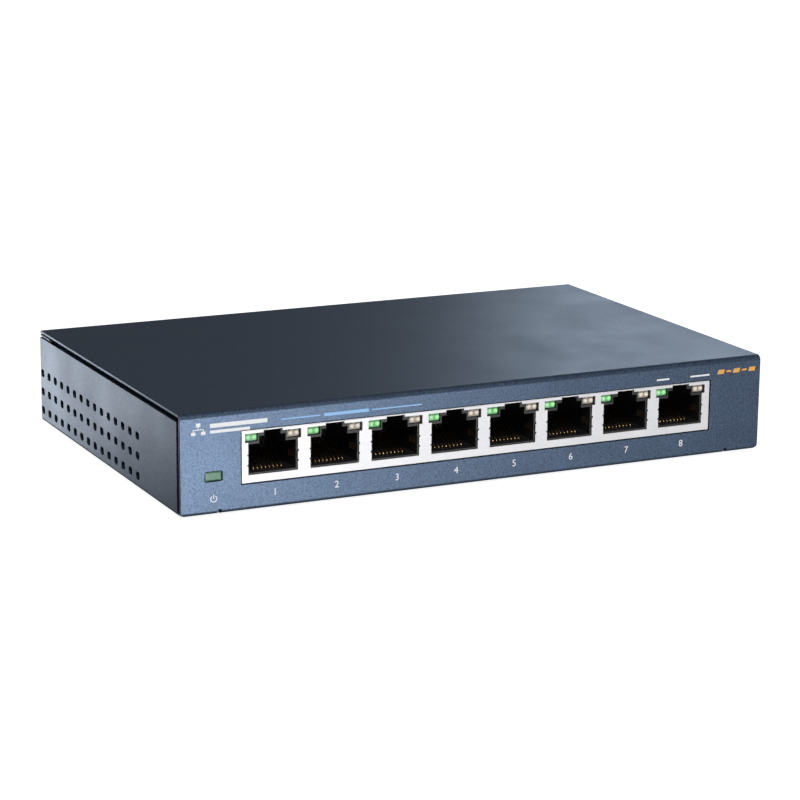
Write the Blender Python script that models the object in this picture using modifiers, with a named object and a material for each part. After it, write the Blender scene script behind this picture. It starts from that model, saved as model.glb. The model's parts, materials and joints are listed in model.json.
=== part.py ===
"""Desktop network switch with eight ports in a folded-steel case.

Frame: metres, +Z up, +X to the right seen from the front, the front faces -Y.
The origin is the centre of the footprint, at the underside of the rubber feet.
"""
import math

import bmesh
import bpy
from mathutils import Matrix, Vector

MM = 0.001

# Case
WIDTH = 158.0 * MM
DEPTH = 101.0 * MM
TOP_Z = 25.3 * MM
BOTTOM_Z = 0.8 * MM
SHEET = 0.8 * MM
TOP_FOLD_RADIUS = 1.4 * MM
BOTTOM_FOLD_RADIUS = 0.9 * MM
FRONT_CORNER_RADIUS = 1.5 * MM
FOLD_STEPS = 4
GAP = 0.3 * MM
SIDE_X = WIDTH / 2
FRONT_Y = -DEPTH / 2
REAR_Y = DEPTH / 2

# Bottom flanges of the cover, and the lips of the tray that lie on them
FLANGE_DEPTH = 8.0 * MM
FLANGE_HALF_WIDTH = 69.0 * MM
FLANGE_UPRIGHT = 4.0 * MM
FLANGE_LOW_Z = 19.0 * MM
RELIEF_RADIUS = 0.65 * MM
LIP_HALF_WIDTH = 68.4 * MM

# Side walls of the tray
WALL_TOP_Z = 23.3 * MM
WALL_FRONT_Y = FRONT_Y + SHEET + 1.3 * MM
WALL_REAR_Y = REAR_Y - 0.1 * MM
TRAY_HALF_DEPTH = DEPTH / 2 - SHEET - GAP
TAB_LENGTH = 8.0 * MM
TAB_TOP_Z = 24.15 * MM
VENT_COLUMNS = 15
VENT_PITCH = 5.08 * MM
VENT_REAR_Y = 48.77 * MM
VENT_ROWS_Z = (3.95 * MM, 8.95 * MM, 13.9 * MM)
VENT_LENGTH = 2.4 * MM
VENT_HEIGHT = 1.9 * MM
VENT_RADIUS = 0.8 * MM

# Circuit board, its standoffs and screws
BOARD_TOP_Z = 7.1 * MM
BOARD_THICKNESS = 1.6 * MM
BOARD_HALF_WIDTH = 74.0 * MM
BOARD_FRONT_Y = -48.9 * MM
BOARD_REAR_Y = 48.4 * MM
SEAT_Z = BOARD_TOP_Z + 0.25 * MM
STANDOFF_X = 70.0 * MM
STANDOFF_Y = 26.0 * MM
STANDOFF_RADIUS = 3.0 * MM
SCREW_RADIUS = 1.4 * MM
SCREW_CLEARANCE = 0.25 * MM
BOARD_SCREW = (2.7 * MM, 1.8 * MM, 5.0 * MM)
DRIVE_HALF_WIDTH = 0.2 * MM

# Feet, keyholes and cover screws
FOOT_RADIUS = 5.0 * MM
FOOT_X = 70.0 * MM
FOOT_Y = 36.0 * MM
KEYHOLE_X = 40.0 * MM
KEYHOLE_HEAD_RADIUS = 4.2 * MM
KEYHOLE_NECK_HALF = 2.1 * MM
KEYHOLE_LENGTH = 8.0 * MM
COVER_SCREW_X = 55.0 * MM
COVER_SCREW_Y = 46.0 * MM
COVER_SCREW_SEAT_Z = BOTTOM_Z - 0.25 * MM
COVER_SCREW = (2.6 * MM, 0.45 * MM, 3.4 * MM)

# Jack block
PORT_COUNT = 8
PORT_PITCH = 15.875 * MM
BLOCK_X = 0.25 * MM
WINDOW_HALF_WIDTH = 64.05 * MM
WINDOW_BOTTOM_Z = 7.1 * MM
WINDOW_TOP_Z = 20.25 * MM
SHIELD_SHEET = 0.3 * MM
SHIELD_HALF_WIDTH = 63.75 * MM
SHIELD_TOP_Z = 20.0 * MM
SHIELD_FRONT_Y = FRONT_Y + 0.2 * MM
SHIELD_REAR_Y = -29.0 * MM
HOUSING_GAP = 0.15 * MM
OPENING_BOTTOM_Z = 9.2 * MM
OPENING_TOP_Z = 19.2 * MM
OPENING_HALF_WIDTH = 6.3 * MM
LED_WINDOW_HALF_WIDTH = 7.12 * MM
LED_WINDOW_BOTTOM_Z = 17.0 * MM
NOTCH_HALF_WIDTH = 2.4 * MM
CAVITY_HALF_WIDTH = 5.95 * MM
CAVITY_FLOOR_Z = 9.6 * MM
CAVITY_ROOF_Z = 16.5 * MM
CAVITY_REAR_Y = -32.0 * MM
STEP_HALF_WIDTH = 3.35 * MM
STEP_ROOF_Z = 18.3 * MM
STEP_REAR_Y = -38.0 * MM
LATCH_HALF_WIDTH = 2.05 * MM
LATCH_REAR_Y = -41.0 * MM
LED_X = 5.37 * MM
LED_Z = 18.1 * MM
LED_HALF_WIDTH = 1.52 * MM
LED_HALF_HEIGHT = 0.85 * MM
LED_FRONT_Y = -49.3 * MM
LED_REAR_Y = -46.0 * MM
LED_POCKET_REAR_Y = LED_REAR_Y + 0.3 * MM
LED_DOME_RADIUS = 0.7 * MM
LED_DOME_X = 0.8 * MM
LED_CLEARANCE = 0.1 * MM

# Contact springs
CONTACT_COUNT = 8
CONTACT_PITCH = 1.016 * MM
CONTACT_RADIUS = 0.21 * MM
CONTACT_AXIS_Y = -46.4 * MM
CONTACT_AXIS_Z = 9.4 * MM
CONTACT_TIP_Y = -36.6 * MM
CONTACT_TIP_Z = 15.3 * MM
CONTACT_BAR_HALF = 0.3 * MM
TROUGH_HALF_WIDTH = 4.4 * MM
TROUGH_HALF_DEPTH = 0.95 * MM
TROUGH_FLOOR_Z = 8.85 * MM

# Power light
LENS_X = -70.67 * MM
LENS_Z = 9.94 * MM
LENS_HALF_WIDTH = 2.1 * MM
LENS_HALF_HEIGHT = 1.08 * MM
LENS_HOLE_MARGIN = 0.15 * MM
LENS_CORNER_RADIUS = 0.25 * MM
LENS_FRONT_Y = FRONT_Y + 0.15 * MM
LENS_REAR_Y = -46.0 * MM
LIGHT_LEG_HALF_WIDTH = 1.5 * MM
LIGHT_LEG_DEPTH = 1.8 * MM

# Power jack and lock slot at the rear
JACK_X = -55.0 * MM
JACK_Z = 13.7 * MM
JACK_HALF_WIDTH = 4.5 * MM
JACK_HEIGHT = 11.0 * MM
JACK_FRONT_Y = 35.5 * MM
JACK_REAR_Y = 49.4 * MM
JACK_BORE_RADIUS = 3.15 * MM
JACK_BORE_END_Y = 39.6 * MM
JACK_HOLE_RADIUS = 3.9 * MM
JACK_PIN_RADIUS = 1.0 * MM
JACK_SPRING_Y = 38.9 * MM
JACK_SPRING_Z = 9.5 * MM
JACK_SPRING_HALF_WIDTH = 1.0 * MM
JACK_SPRING_SHEET = 0.25 * MM
JACK_SPRING_RISE = 1.45 * MM
JACK_SPRING_DIP = 0.7 * MM
JACK_SPRING_LENGTHS = (5.6 * MM, 6.4 * MM, 8.0 * MM)
JACK_SLOT_HALF_WIDTH = 1.4 * MM
JACK_SLOT_FLOOR_Z = 8.6 * MM
JACK_SLOT_END_Y = 47.8 * MM
LOCK_SLOT_X = 62.0 * MM
LOCK_SLOT_Z = 13.0 * MM
LOCK_SLOT_HALF_WIDTH = 3.5 * MM
LOCK_SLOT_HALF_HEIGHT = 1.5 * MM

# Parts on the board: centre x and y, width, depth, height, radius of the upright edges, finish
BOARD_BLOCKS = {
    "switch_chip": (0.0, 4.0, 16.0, 16.0, 1.2, 0.0, "chip"),
    "flash_chip": (24.0, 8.0, 5.0, 4.0, 1.5, 0.0, "chip"),
    "crystal": (24.0, -1.0, 11.0, 4.4, 3.4, 2.1, "can"),
    "voltage_regulator": (-30.0, 22.0, 6.5, 6.0, 1.8, 0.0, "chip"),
    "power_inductor": (-42.0, 22.0, 8.0, 8.0, 4.0, 1.2, "ferrite"),
    "magnetics_1": (-47.225, -19.0, 27.0, 13.0, 6.0, 0.0, "magnetics"),
    "magnetics_2": (-15.475, -19.0, 27.0, 13.0, 6.0, 0.0, "magnetics"),
    "magnetics_3": (16.275, -19.0, 27.0, 13.0, 6.0, 0.0, "magnetics"),
    "magnetics_4": (48.025, -19.0, 27.0, 13.0, 6.0, 0.0, "magnetics"),
}
POWER_LED_SIZE = (2.4, 2.0, 3.4)
POWER_LED_Y = -44.5
CAPACITORS_X = (-42.0 * MM, -31.0 * MM)
CAPACITOR_Y = 36.0 * MM
CAPACITOR_RADIUS = 4.0 * MM
CAPACITOR_HEIGHT = 10.5 * MM
HEAT_SINK_SIZE = (26.0, 26.0, 8.0)
HEAT_SINK_BOTTOM_Z = SEAT_Z + 1.2 * MM + GAP
HEAT_SINK_BASE = 2.0 * MM
HEAT_SINK_SLOTS = 6
HEAT_SINK_PITCH = 4.2 * MM
HEAT_SINK_SLOT_HALF = 1.4 * MM

PARTS = "desktop_network_switch"
GUIDES = "cutters_and_joined_shapes"


# ---------------------------------------------------------------- helpers

def clear_scene():
    """Remove every object, then make the two collections."""
    for obj in list(bpy.data.objects):
        bpy.data.objects.remove(obj, do_unlink=True)
    for name in (PARTS, GUIDES):
        collection = bpy.data.collections.new(name)
        bpy.context.scene.collection.children.link(collection)
    bpy.data.collections[GUIDES].hide_render = True


def material(name, color, roughness, metallic=0.0, emission=0.0):
    """A Principled material with one colour."""
    result = bpy.data.materials.new(name)
    result.use_nodes = True
    shader = result.node_tree.nodes["Principled BSDF"]
    shader.inputs["Base Color"].default_value = (*color, 1.0)
    shader.inputs["Roughness"].default_value = roughness
    shader.inputs["Metallic"].default_value = metallic
    shader.inputs["Emission Color"].default_value = (*color, 1.0)
    shader.inputs["Emission Strength"].default_value = emission
    return result


def mesh_of(bm, name):
    """Turn a bmesh into a mesh with its faces pointing out."""
    bmesh.ops.recalc_face_normals(bm, faces=bm.faces[:])
    mesh = bpy.data.meshes.new(name)
    bm.to_mesh(mesh)
    bm.free()
    return mesh


def add_box(bm, low, high):
    """Add a box with the given lowest and highest corners."""
    low = Vector(low)
    high = Vector(high)
    size = high - low
    matrix = Matrix.Translation((low + high) / 2) @ Matrix.Diagonal((*size, 1.0))
    return bmesh.ops.create_cube(bm, size=1.0, matrix=matrix)["verts"]


def add_rounded_box(bm, low, high, axis, radius, steps=2):
    """Add a box whose four edges along one axis are rounded."""
    verts = set(add_box(bm, low, high))
    edges = []
    for edge in bm.edges:
        if edge.verts[0] not in verts:
            continue
        run = edge.verts[1].co - edge.verts[0].co
        if abs(run[axis]) > 0.999 * run.length:
            edges.append(edge)
    bmesh.ops.bevel(bm, geom=edges, offset=radius, segments=steps, affect="EDGES", profile=0.5)


def add_cylinder(bm, radius, low, high, axis, segments=24):
    """Add a cylinder between two points that differ only along one axis (0, 1 or 2)."""
    low = Vector(low)
    high = Vector(high)
    turn = (Matrix.Rotation(math.pi / 2, 4, "Y"), Matrix.Rotation(-math.pi / 2, 4, "X"), Matrix.Identity(4))
    bmesh.ops.create_cone(
        bm, cap_ends=True, segments=segments, radius1=radius, radius2=radius,
        depth=(high - low).length, matrix=Matrix.Translation((low + high) / 2) @ turn[axis])


def part(name, mesh, finish, location=(0.0, 0.0, 0.0)):
    """Add a sub-part to the object's collection."""
    obj = bpy.data.objects.new(name, mesh)
    obj.location = location
    if not mesh.materials:
        mesh.materials.append(finish)
    bpy.data.collections[PARTS].objects.link(obj)
    return obj


def guide(name, mesh):
    """Add a shape that only cuts or joins another one."""
    obj = bpy.data.objects.new(name, mesh)
    obj.hide_render = True
    obj.display_type = "WIRE"
    bpy.data.collections[GUIDES].objects.link(obj)
    return obj


def combine(obj, operation, mesh):
    """Cut a shape out of an object, or join it on, with an exact Boolean."""
    tool = guide(f"{obj.name}_{operation.lower()}_{len(obj.modifiers)}", mesh)
    modifier = obj.modifiers.new(tool.name, "BOOLEAN")
    modifier.operation = operation
    modifier.solver = "EXACT"
    modifier.object = tool


def cut(obj, bm):
    combine(obj, "DIFFERENCE", mesh_of(bm, f"{obj.name}_cutter"))


def join(obj, bm):
    combine(obj, "UNION", mesh_of(bm, f"{obj.name}_addition"))


def finished_mesh(obj):
    """The object's mesh with its modifiers applied; the object itself is removed."""
    bpy.context.view_layer.update()
    evaluated = obj.evaluated_get(bpy.context.evaluated_depsgraph_get())
    mesh = bpy.data.meshes.new_from_object(evaluated)
    mesh.name = obj.name
    bpy.data.objects.remove(obj, do_unlink=True)
    return mesh


def smooth(mesh, angle=40.0):
    mesh.shade_smooth()
    mesh.set_sharp_from_angle(angle=math.radians(angle))


def arc(centre, radius, start, end, steps=FOLD_STEPS):
    """Points on an arc in degrees, both ends included."""
    points = []
    for step in range(steps + 1):
        angle = math.radians(start + (end - start) * step / steps)
        points.append((centre[0] + radius * math.cos(angle), centre[1] + radius * math.sin(angle)))
    return points


def swept_sheet(name, profile, axis, half_length):
    """An open strip: a flat profile swept along X (0) or Y (1), from -half_length to half_length."""
    bm = bmesh.new()
    start = []
    for across, up in profile:
        point = (-half_length, across, up) if axis == 0 else (across, -half_length, up)
        start.append(bm.verts.new(point))
    edges = [bm.edges.new(pair) for pair in zip(start, start[1:])]
    swept = bmesh.ops.extrude_edge_only(bm, edges=edges)["geom"]
    moved = [item for item in swept if isinstance(item, bmesh.types.BMVert)]
    step = Vector((0.0, 0.0, 0.0))
    step[axis] = 2 * half_length
    bmesh.ops.translate(bm, verts=moved, vec=step)
    mesh = bpy.data.meshes.new(name)
    bm.to_mesh(mesh)
    bm.free()
    return mesh


def thicken(obj, thickness, offset=-1.0):
    """Give an open sheet its thickness, behind its face unless an offset says otherwise."""
    modifier = obj.modifiers.new("sheet_thickness", "SOLIDIFY")
    modifier.thickness = thickness
    modifier.offset = offset
    modifier.use_even_offset = True


def port_x(index):
    """Centre of a port, counted from 0 at the left."""
    return (index - (PORT_COUNT - 1) / 2) * PORT_PITCH


# ---------------------------------------------------------------- case

def cover_profile():
    """Outer line of the cover in the YZ plane: flange, front, top, rear, flange."""
    low = BOTTOM_FOLD_RADIUS
    high = TOP_FOLD_RADIUS
    points = [(FRONT_Y + FLANGE_DEPTH, BOTTOM_Z)]
    points += arc((FRONT_Y + low, BOTTOM_Z + low), low, 270, 180)
    points += arc((FRONT_Y + high, TOP_Z - high), high, 180, 90)
    points += arc((REAR_Y - high, TOP_Z - high), high, 90, 0)
    points += arc((REAR_Y - low, BOTTOM_Z + low), low, 0, -90)
    points.append((REAR_Y - FLANGE_DEPTH, BOTTOM_Z))
    return points


def flange_end_cutters():
    """Boxes that take the bottom flanges off outside the relief holes."""
    bm = bmesh.new()
    for side in (-1, 1):
        for end in (-1, 1):
            xs = sorted((side * FLANGE_HALF_WIDTH, side * (SIDE_X + MM)))
            ys = sorted((end * (REAR_Y - SHEET), end * (REAR_Y - FLANGE_DEPTH - MM)))
            add_box(bm, (xs[0], ys[0], BOTTOM_Z - MM), (xs[1], ys[1], BOTTOM_Z + 2 * SHEET))
    return bm


def relief_cutters():
    """Half-round reliefs where each flange's fold ends."""
    bm = bmesh.new()
    for side in (-1, 1):
        for end in (-1, 1):
            x = side * (FLANGE_HALF_WIDTH + 0.2 * MM)
            y = end * REAR_Y
            z = BOTTOM_Z + 0.2 * MM
            add_cylinder(bm, RELIEF_RADIUS, (x, y - 2 * SHEET, z), (x, y + 2 * SHEET, z), 1, 12)
    return bm


def corner_cutters():
    """Round the bottom corners of the front and rear panels."""
    bm = bmesh.new()
    radius = FRONT_CORNER_RADIUS
    for side in (-1, 1):
        xs = sorted((side * (SIDE_X - radius), side * (SIDE_X + MM)))
        low = (xs[0], FRONT_Y - MM, BOTTOM_Z - MM)
        high = (xs[1], REAR_Y + MM, BOTTOM_Z + radius)
        add_box(bm, low, high)
    block = part("corner_blocks", mesh_of(bm, "corner_blocks"), None)
    rods = bmesh.new()
    for side in (-1, 1):
        x = side * (SIDE_X - radius)
        z = BOTTOM_Z + radius
        add_cylinder(rods, radius, (x, FRONT_Y - 2 * MM, z), (x, REAR_Y + 2 * MM, z), 1, 24)
    cut(block, rods)
    result = bmesh.new()
    result.from_mesh(finished_mesh(block))
    return result


def rear_panel_cutters():
    """Boxes that narrow the rear panel, so that it sits between the side walls."""
    bm = bmesh.new()
    for side in (-1, 1):
        xs = sorted((side * (SIDE_X - SHEET - GAP), side * (SIDE_X + MM)))
        add_box(bm, (xs[0], REAR_Y - 1.5 * SHEET, BOTTOM_Z - MM), (xs[1], REAR_Y + MM, TAB_TOP_Z + GAP))
    return bm


def make_top_cover(finish):
    """Top, front and rear panels of one folded sheet, with inner flanges at the sides."""
    cover = part("top_cover", swept_sheet("top_cover", cover_profile(), 0, SIDE_X), finish)
    thicken(cover, SHEET)
    cut(cover, flange_end_cutters())
    cut(cover, relief_cutters())
    cut(cover, corner_cutters())
    cut(cover, rear_panel_cutters())

    upright = (FRONT_Y + SHEET / 2, FRONT_Y + FLANGE_UPRIGHT, BOTTOM_Z + 3 * SHEET)
    level = (FRONT_Y + FLANGE_UPRIGHT - SHEET, REAR_Y - 2 * MM, FLANGE_LOW_Z)
    for front, rear, low in (upright, level):
        flanges = bmesh.new()
        for side in (-1, 1):
            inner = SIDE_X - 2 * SHEET - GAP
            xs = sorted((side * inner, side * (inner + SHEET)))
            add_box(flanges, (xs[0], front, low), (xs[1], rear, TOP_Z - SHEET / 2))
        join(cover, flanges)

    openings = bmesh.new()
    add_box(openings, (BLOCK_X - WINDOW_HALF_WIDTH, FRONT_Y - MM, WINDOW_BOTTOM_Z),
            (BLOCK_X + WINDOW_HALF_WIDTH, FRONT_Y + 2 * SHEET, WINDOW_TOP_Z))
    half_width = LENS_HALF_WIDTH + LENS_HOLE_MARGIN
    half_height = LENS_HALF_HEIGHT + LENS_HOLE_MARGIN
    add_rounded_box(openings, (LENS_X - half_width, FRONT_Y - MM, LENS_Z - half_height),
                    (LENS_X + half_width, FRONT_Y + 2 * SHEET, LENS_Z + half_height), 1,
                    LENS_CORNER_RADIUS + LENS_HOLE_MARGIN)
    rear = REAR_Y - 2 * SHEET
    add_cylinder(openings, JACK_HOLE_RADIUS, (JACK_X, rear, JACK_Z), (JACK_X, REAR_Y + MM, JACK_Z), 1)
    add_rounded_box(openings, (LOCK_SLOT_X - LOCK_SLOT_HALF_WIDTH, rear, LOCK_SLOT_Z - LOCK_SLOT_HALF_HEIGHT),
                    (LOCK_SLOT_X + LOCK_SLOT_HALF_WIDTH, REAR_Y + MM, LOCK_SLOT_Z + LOCK_SLOT_HALF_HEIGHT),
                    1, 0.5 * MM)
    for side in (-1, 1):
        x = side * COVER_SCREW_X
        add_cylinder(openings, SCREW_RADIUS + SCREW_CLEARANCE, (x, COVER_SCREW_Y, 0.0),
                     (x, COVER_SCREW_Y, BOTTOM_Z + 2 * SHEET), 2, 16)
    cut(cover, openings)


def tray_profile():
    """Outer line of the tray in the XZ plane: left wall, bottom, right wall."""
    radius = BOTTOM_FOLD_RADIUS
    points = [(-SIDE_X, WALL_TOP_Z)]
    points += arc((-SIDE_X + radius, BOTTOM_Z + radius), radius, 180, 270)
    points += arc((SIDE_X - radius, BOTTOM_Z + radius), radius, 270, 360)
    points.append((SIDE_X, WALL_TOP_Z))
    return points


def vent_cutters():
    """Three rows of rounded slots through both side walls."""
    bm = bmesh.new()
    for side in (-1, 1):
        xs = sorted((side * (SIDE_X - 2 * SHEET), side * (SIDE_X + MM)))
        for column in range(VENT_COLUMNS):
            y = VENT_REAR_Y - column * VENT_PITCH
            for z in VENT_ROWS_Z:
                low = (xs[0], y - VENT_LENGTH / 2, z - VENT_HEIGHT / 2)
                high = (xs[1], y + VENT_LENGTH / 2, z + VENT_HEIGHT / 2)
                add_rounded_box(bm, low, high, 0, VENT_RADIUS, steps=1)
    return bm


def make_base_tray(finish):
    """Bottom and both side walls of one folded sheet, with standoffs and keyholes."""
    tray = part("base_tray", swept_sheet("base_tray", tray_profile(), 1, WALL_REAR_Y), finish)
    thicken(tray, SHEET)

    trims = bmesh.new()
    flange_end = REAR_Y - FLANGE_DEPTH - 0.4 * MM
    for end in (-1, 1):
        ys = sorted((end * flange_end, end * (REAR_Y + MM)))
        pocket = FLANGE_HALF_WIDTH + 0.6 * MM
        add_box(trims, (-pocket, ys[0], BOTTOM_Z - MM), (pocket, ys[1], BOTTOM_Z + 2 * SHEET))
    cut(tray, trims)
    trims = bmesh.new()
    wall_inner = SIDE_X - SHEET - 0.1 * MM
    for side in (-1, 1):
        xs = sorted((side * wall_inner, side * (SIDE_X + MM)))
        add_box(trims, (xs[0], FRONT_Y, BOTTOM_Z + BOTTOM_FOLD_RADIUS + 0.1 * MM),
                (xs[1], WALL_FRONT_Y, WALL_TOP_Z + MM))
    add_box(trims, (-wall_inner, TRAY_HALF_DEPTH, BOTTOM_Z - MM), (wall_inner, REAR_Y + MM, BOTTOM_Z + 2 * SHEET))
    cut(tray, trims)
    trims = bmesh.new()
    add_box(trims, (-SIDE_X - MM, FRONT_Y - MM, BOTTOM_Z - MM),
            (SIDE_X + MM, -TRAY_HALF_DEPTH, WALL_TOP_Z + MM))
    cut(tray, trims)

    lips = bmesh.new()
    lip_low = BOTTOM_Z + SHEET + GAP
    for end in (-1, 1):
        ys = sorted((end * (flange_end - SHEET), end * TRAY_HALF_DEPTH))
        add_box(lips, (-LIP_HALF_WIDTH, ys[0], lip_low), (LIP_HALF_WIDTH, ys[1], lip_low + SHEET))
    join(tray, lips)
    risers = bmesh.new()
    for end in (-1, 1):
        ys = sorted((end * (flange_end - 1.1 * SHEET), end * (flange_end - 0.05 * MM)))
        low = (-LIP_HALF_WIDTH - 0.1 * MM, ys[0], BOTTOM_Z + 0.05 * MM)
        high = (LIP_HALF_WIDTH + 0.1 * MM, ys[1], lip_low + SHEET - 0.05 * MM)
        add_box(risers, low, high)
    for x in (-STANDOFF_X, STANDOFF_X):
        for y in (-STANDOFF_Y, STANDOFF_Y):
            top = BOARD_TOP_Z - BOARD_THICKNESS - GAP
            add_cylinder(risers, STANDOFF_RADIUS, (x, y, BOTTOM_Z + SHEET / 2), (x, y, top), 2, 20)
    for side in (-1, 1):
        xs = sorted((side * (SIDE_X - SHEET + 0.05 * MM), side * (SIDE_X - 0.05 * MM)))
        add_rounded_box(risers, (xs[0], WALL_REAR_Y - TAB_LENGTH, WALL_TOP_Z - MM),
                        (xs[1], WALL_REAR_Y - 0.1 * MM, TAB_TOP_Z), 0, 0.4 * MM)
    join(tray, risers)

    holes = bmesh.new()
    for x in (-STANDOFF_X, STANDOFF_X):
        for y in (-STANDOFF_Y, STANDOFF_Y):
            add_cylinder(holes, SCREW_RADIUS + SCREW_CLEARANCE, (x, y, 0.0), (x, y, BOARD_TOP_Z), 2, 16)
    for side in (-1, 1):
        x = side * COVER_SCREW_X
        add_cylinder(holes, SCREW_RADIUS + SCREW_CLEARANCE, (x, COVER_SCREW_Y, 0.0),
                     (x, COVER_SCREW_Y, BOARD_TOP_Z), 2, 16)
        x = side * KEYHOLE_X
        add_cylinder(holes, KEYHOLE_HEAD_RADIUS, (x, 0.0, 0.0), (x, 0.0, BOARD_TOP_Z), 2, 24)
    cut(tray, holes)
    necks = bmesh.new()
    for side in (-1, 1):
        x = side * KEYHOLE_X
        add_rounded_box(necks, (x - KEYHOLE_NECK_HALF, -KEYHOLE_LENGTH / 4, 0.0),
                        (x + KEYHOLE_NECK_HALF, KEYHOLE_LENGTH, BOARD_TOP_Z), 2, 1.8 * MM, steps=3)
    cut(tray, necks)
    cut(tray, vent_cutters())


def make_feet(finish):
    """Four round rubber feet with a chamfered rim."""
    height = BOTTOM_Z - 0.1 * MM
    bm = bmesh.new()
    bmesh.ops.create_cone(bm, cap_ends=True, segments=24, radius1=FOOT_RADIUS - 0.4 * MM, radius2=FOOT_RADIUS,
                          depth=height, matrix=Matrix.Translation((0.0, 0.0, height / 2)))
    mesh = mesh_of(bm, "rubber_foot")
    smooth(mesh)
    places = {"front_left": (-1, -1), "front_right": (1, -1), "rear_left": (-1, 1), "rear_right": (1, 1)}
    for where, (across, back) in places.items():
        part(f"foot_{where}", mesh, finish, (across * FOOT_X, back * FOOT_Y, 0.0))


def screw_mesh(name, head_radius, head_height, shank_length, points_up):
    """A pan-head screw whose head's seat is at the origin and whose shank runs along Z."""
    sign = 1 if points_up else -1
    head = bmesh.new()
    zs = sorted((0.0, -sign * head_height))
    add_cylinder(head, head_radius, (0, 0, zs[0]), (0, 0, zs[1]), 2, 20)
    screw = part(name, mesh_of(head, name), None)
    shank = bmesh.new()
    zs = sorted((sign * shank_length, -sign * head_height / 3))
    add_cylinder(shank, SCREW_RADIUS, (0, 0, zs[0]), (0, 0, zs[1]), 2, 14)
    join(screw, shank)
    drive = bmesh.new()
    depth = 0.6 * head_height
    zs = sorted((-sign * (head_height + MM), -sign * (head_height - depth)))
    reach = 0.6 * head_radius
    add_box(drive, (-reach, -DRIVE_HALF_WIDTH, zs[0]), (reach, DRIVE_HALF_WIDTH, zs[1]))
    cut(screw, drive)
    drive = bmesh.new()
    add_box(drive, (-DRIVE_HALF_WIDTH, -reach, zs[0]), (DRIVE_HALF_WIDTH, reach, zs[1]))
    cut(screw, drive)
    mesh = finished_mesh(screw)
    mesh.materials.clear()
    smooth(mesh)
    return mesh


def make_screws(finish_board, finish_cover):
    """Four screws hold the board and two, from below, hold the cover."""
    mesh = screw_mesh("board_screw_mesh", *BOARD_SCREW, points_up=False)
    number = 0
    for y in (-STANDOFF_Y, STANDOFF_Y):
        for x in (-STANDOFF_X, STANDOFF_X):
            number += 1
            part(f"board_screw_{number}", mesh, finish_board, (x, y, BOARD_TOP_Z + GAP))
    mesh = screw_mesh("cover_screw_mesh", *COVER_SCREW, points_up=True)
    for number, side in ((1, -1), (2, 1)):
        place = (side * COVER_SCREW_X, COVER_SCREW_Y, COVER_SCREW_SEAT_Z)
        part(f"cover_screw_{number}", mesh, finish_cover, place)


# ---------------------------------------------------------------- jack block

def make_shield(finish):
    """Thin steel box around the jack block, open below, with eight openings in front."""
    bm = bmesh.new()
    add_box(bm, (BLOCK_X - SHIELD_HALF_WIDTH, SHIELD_FRONT_Y, SEAT_Z),
            (BLOCK_X + SHIELD_HALF_WIDTH, SHIELD_REAR_Y, SHIELD_TOP_Z))
    bottom = min(bm.faces, key=lambda face: face.calc_center_median().z)
    bmesh.ops.recalc_face_normals(bm, faces=bm.faces[:])
    bmesh.ops.delete(bm, geom=[bottom], context="FACES_ONLY")
    mesh = bpy.data.meshes.new("jack_shield")
    bm.to_mesh(mesh)
    bm.free()
    shield = part("jack_shield", mesh, finish)
    thicken(shield, SHIELD_SHEET)
    front = SHIELD_FRONT_Y - MM
    rear = SHIELD_FRONT_Y + 2 * SHIELD_SHEET
    steps = (
        (OPENING_HALF_WIDTH, OPENING_BOTTOM_Z, OPENING_TOP_Z),
        (LED_WINDOW_HALF_WIDTH, LED_WINDOW_BOTTOM_Z, OPENING_TOP_Z - 0.01 * MM),
        (NOTCH_HALF_WIDTH, OPENING_TOP_Z - MM, SHIELD_TOP_Z - SHIELD_SHEET),
    )
    for half_width, low, high in steps:
        windows = bmesh.new()
        for index in range(PORT_COUNT):
            x = port_x(index)
            add_box(windows, (x - half_width, front, low), (x + half_width, rear, high))
        cut(shield, windows)


def make_housing(finish):
    """One black moulding with eight stepped cavities, LED pockets and contact troughs."""
    front = SHIELD_FRONT_Y + SHIELD_SHEET + HOUSING_GAP
    rear = SHIELD_REAR_Y - SHIELD_SHEET - HOUSING_GAP
    half = SHIELD_HALF_WIDTH - SHIELD_SHEET - HOUSING_GAP
    top = SHIELD_TOP_Z - SHIELD_SHEET - HOUSING_GAP
    bm = bmesh.new()
    add_box(bm, (BLOCK_X - half, front, SEAT_Z), (BLOCK_X + half, rear, top))
    housing = part("jack_housing", mesh_of(bm, "jack_housing"), finish)
    mouth = front - MM
    trough_front = CONTACT_AXIS_Y - TROUGH_HALF_DEPTH
    trough_rear = CONTACT_AXIS_Y + TROUGH_HALF_DEPTH
    steps = (
        (CAVITY_HALF_WIDTH, mouth, CAVITY_REAR_Y, CAVITY_FLOOR_Z, CAVITY_ROOF_Z),
        (STEP_HALF_WIDTH, mouth, STEP_REAR_Y, CAVITY_ROOF_Z - MM, STEP_ROOF_Z),
        (LATCH_HALF_WIDTH, mouth, LATCH_REAR_Y, STEP_ROOF_Z - MM, top + MM),
        (TROUGH_HALF_WIDTH, trough_front, trough_rear, TROUGH_FLOOR_Z, CAVITY_FLOOR_Z + MM),
    )
    for half_width, near, far, low, high in steps:
        cavity = bmesh.new()
        for index in range(PORT_COUNT):
            x = port_x(index)
            add_box(cavity, (x - half_width, near, low), (x + half_width, far, high))
        cut(housing, cavity)
    pockets = bmesh.new()
    for index in range(PORT_COUNT):
        for side in (-1, 1):
            x = port_x(index) + side * LED_X
            width = LED_HALF_WIDTH + LED_CLEARANCE
            height = LED_HALF_HEIGHT + LED_CLEARANCE
            add_box(pockets, (x - width, mouth, LED_Z - height), (x + width, LED_POCKET_REAR_Y, LED_Z + height))
    cut(housing, pockets)


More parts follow.
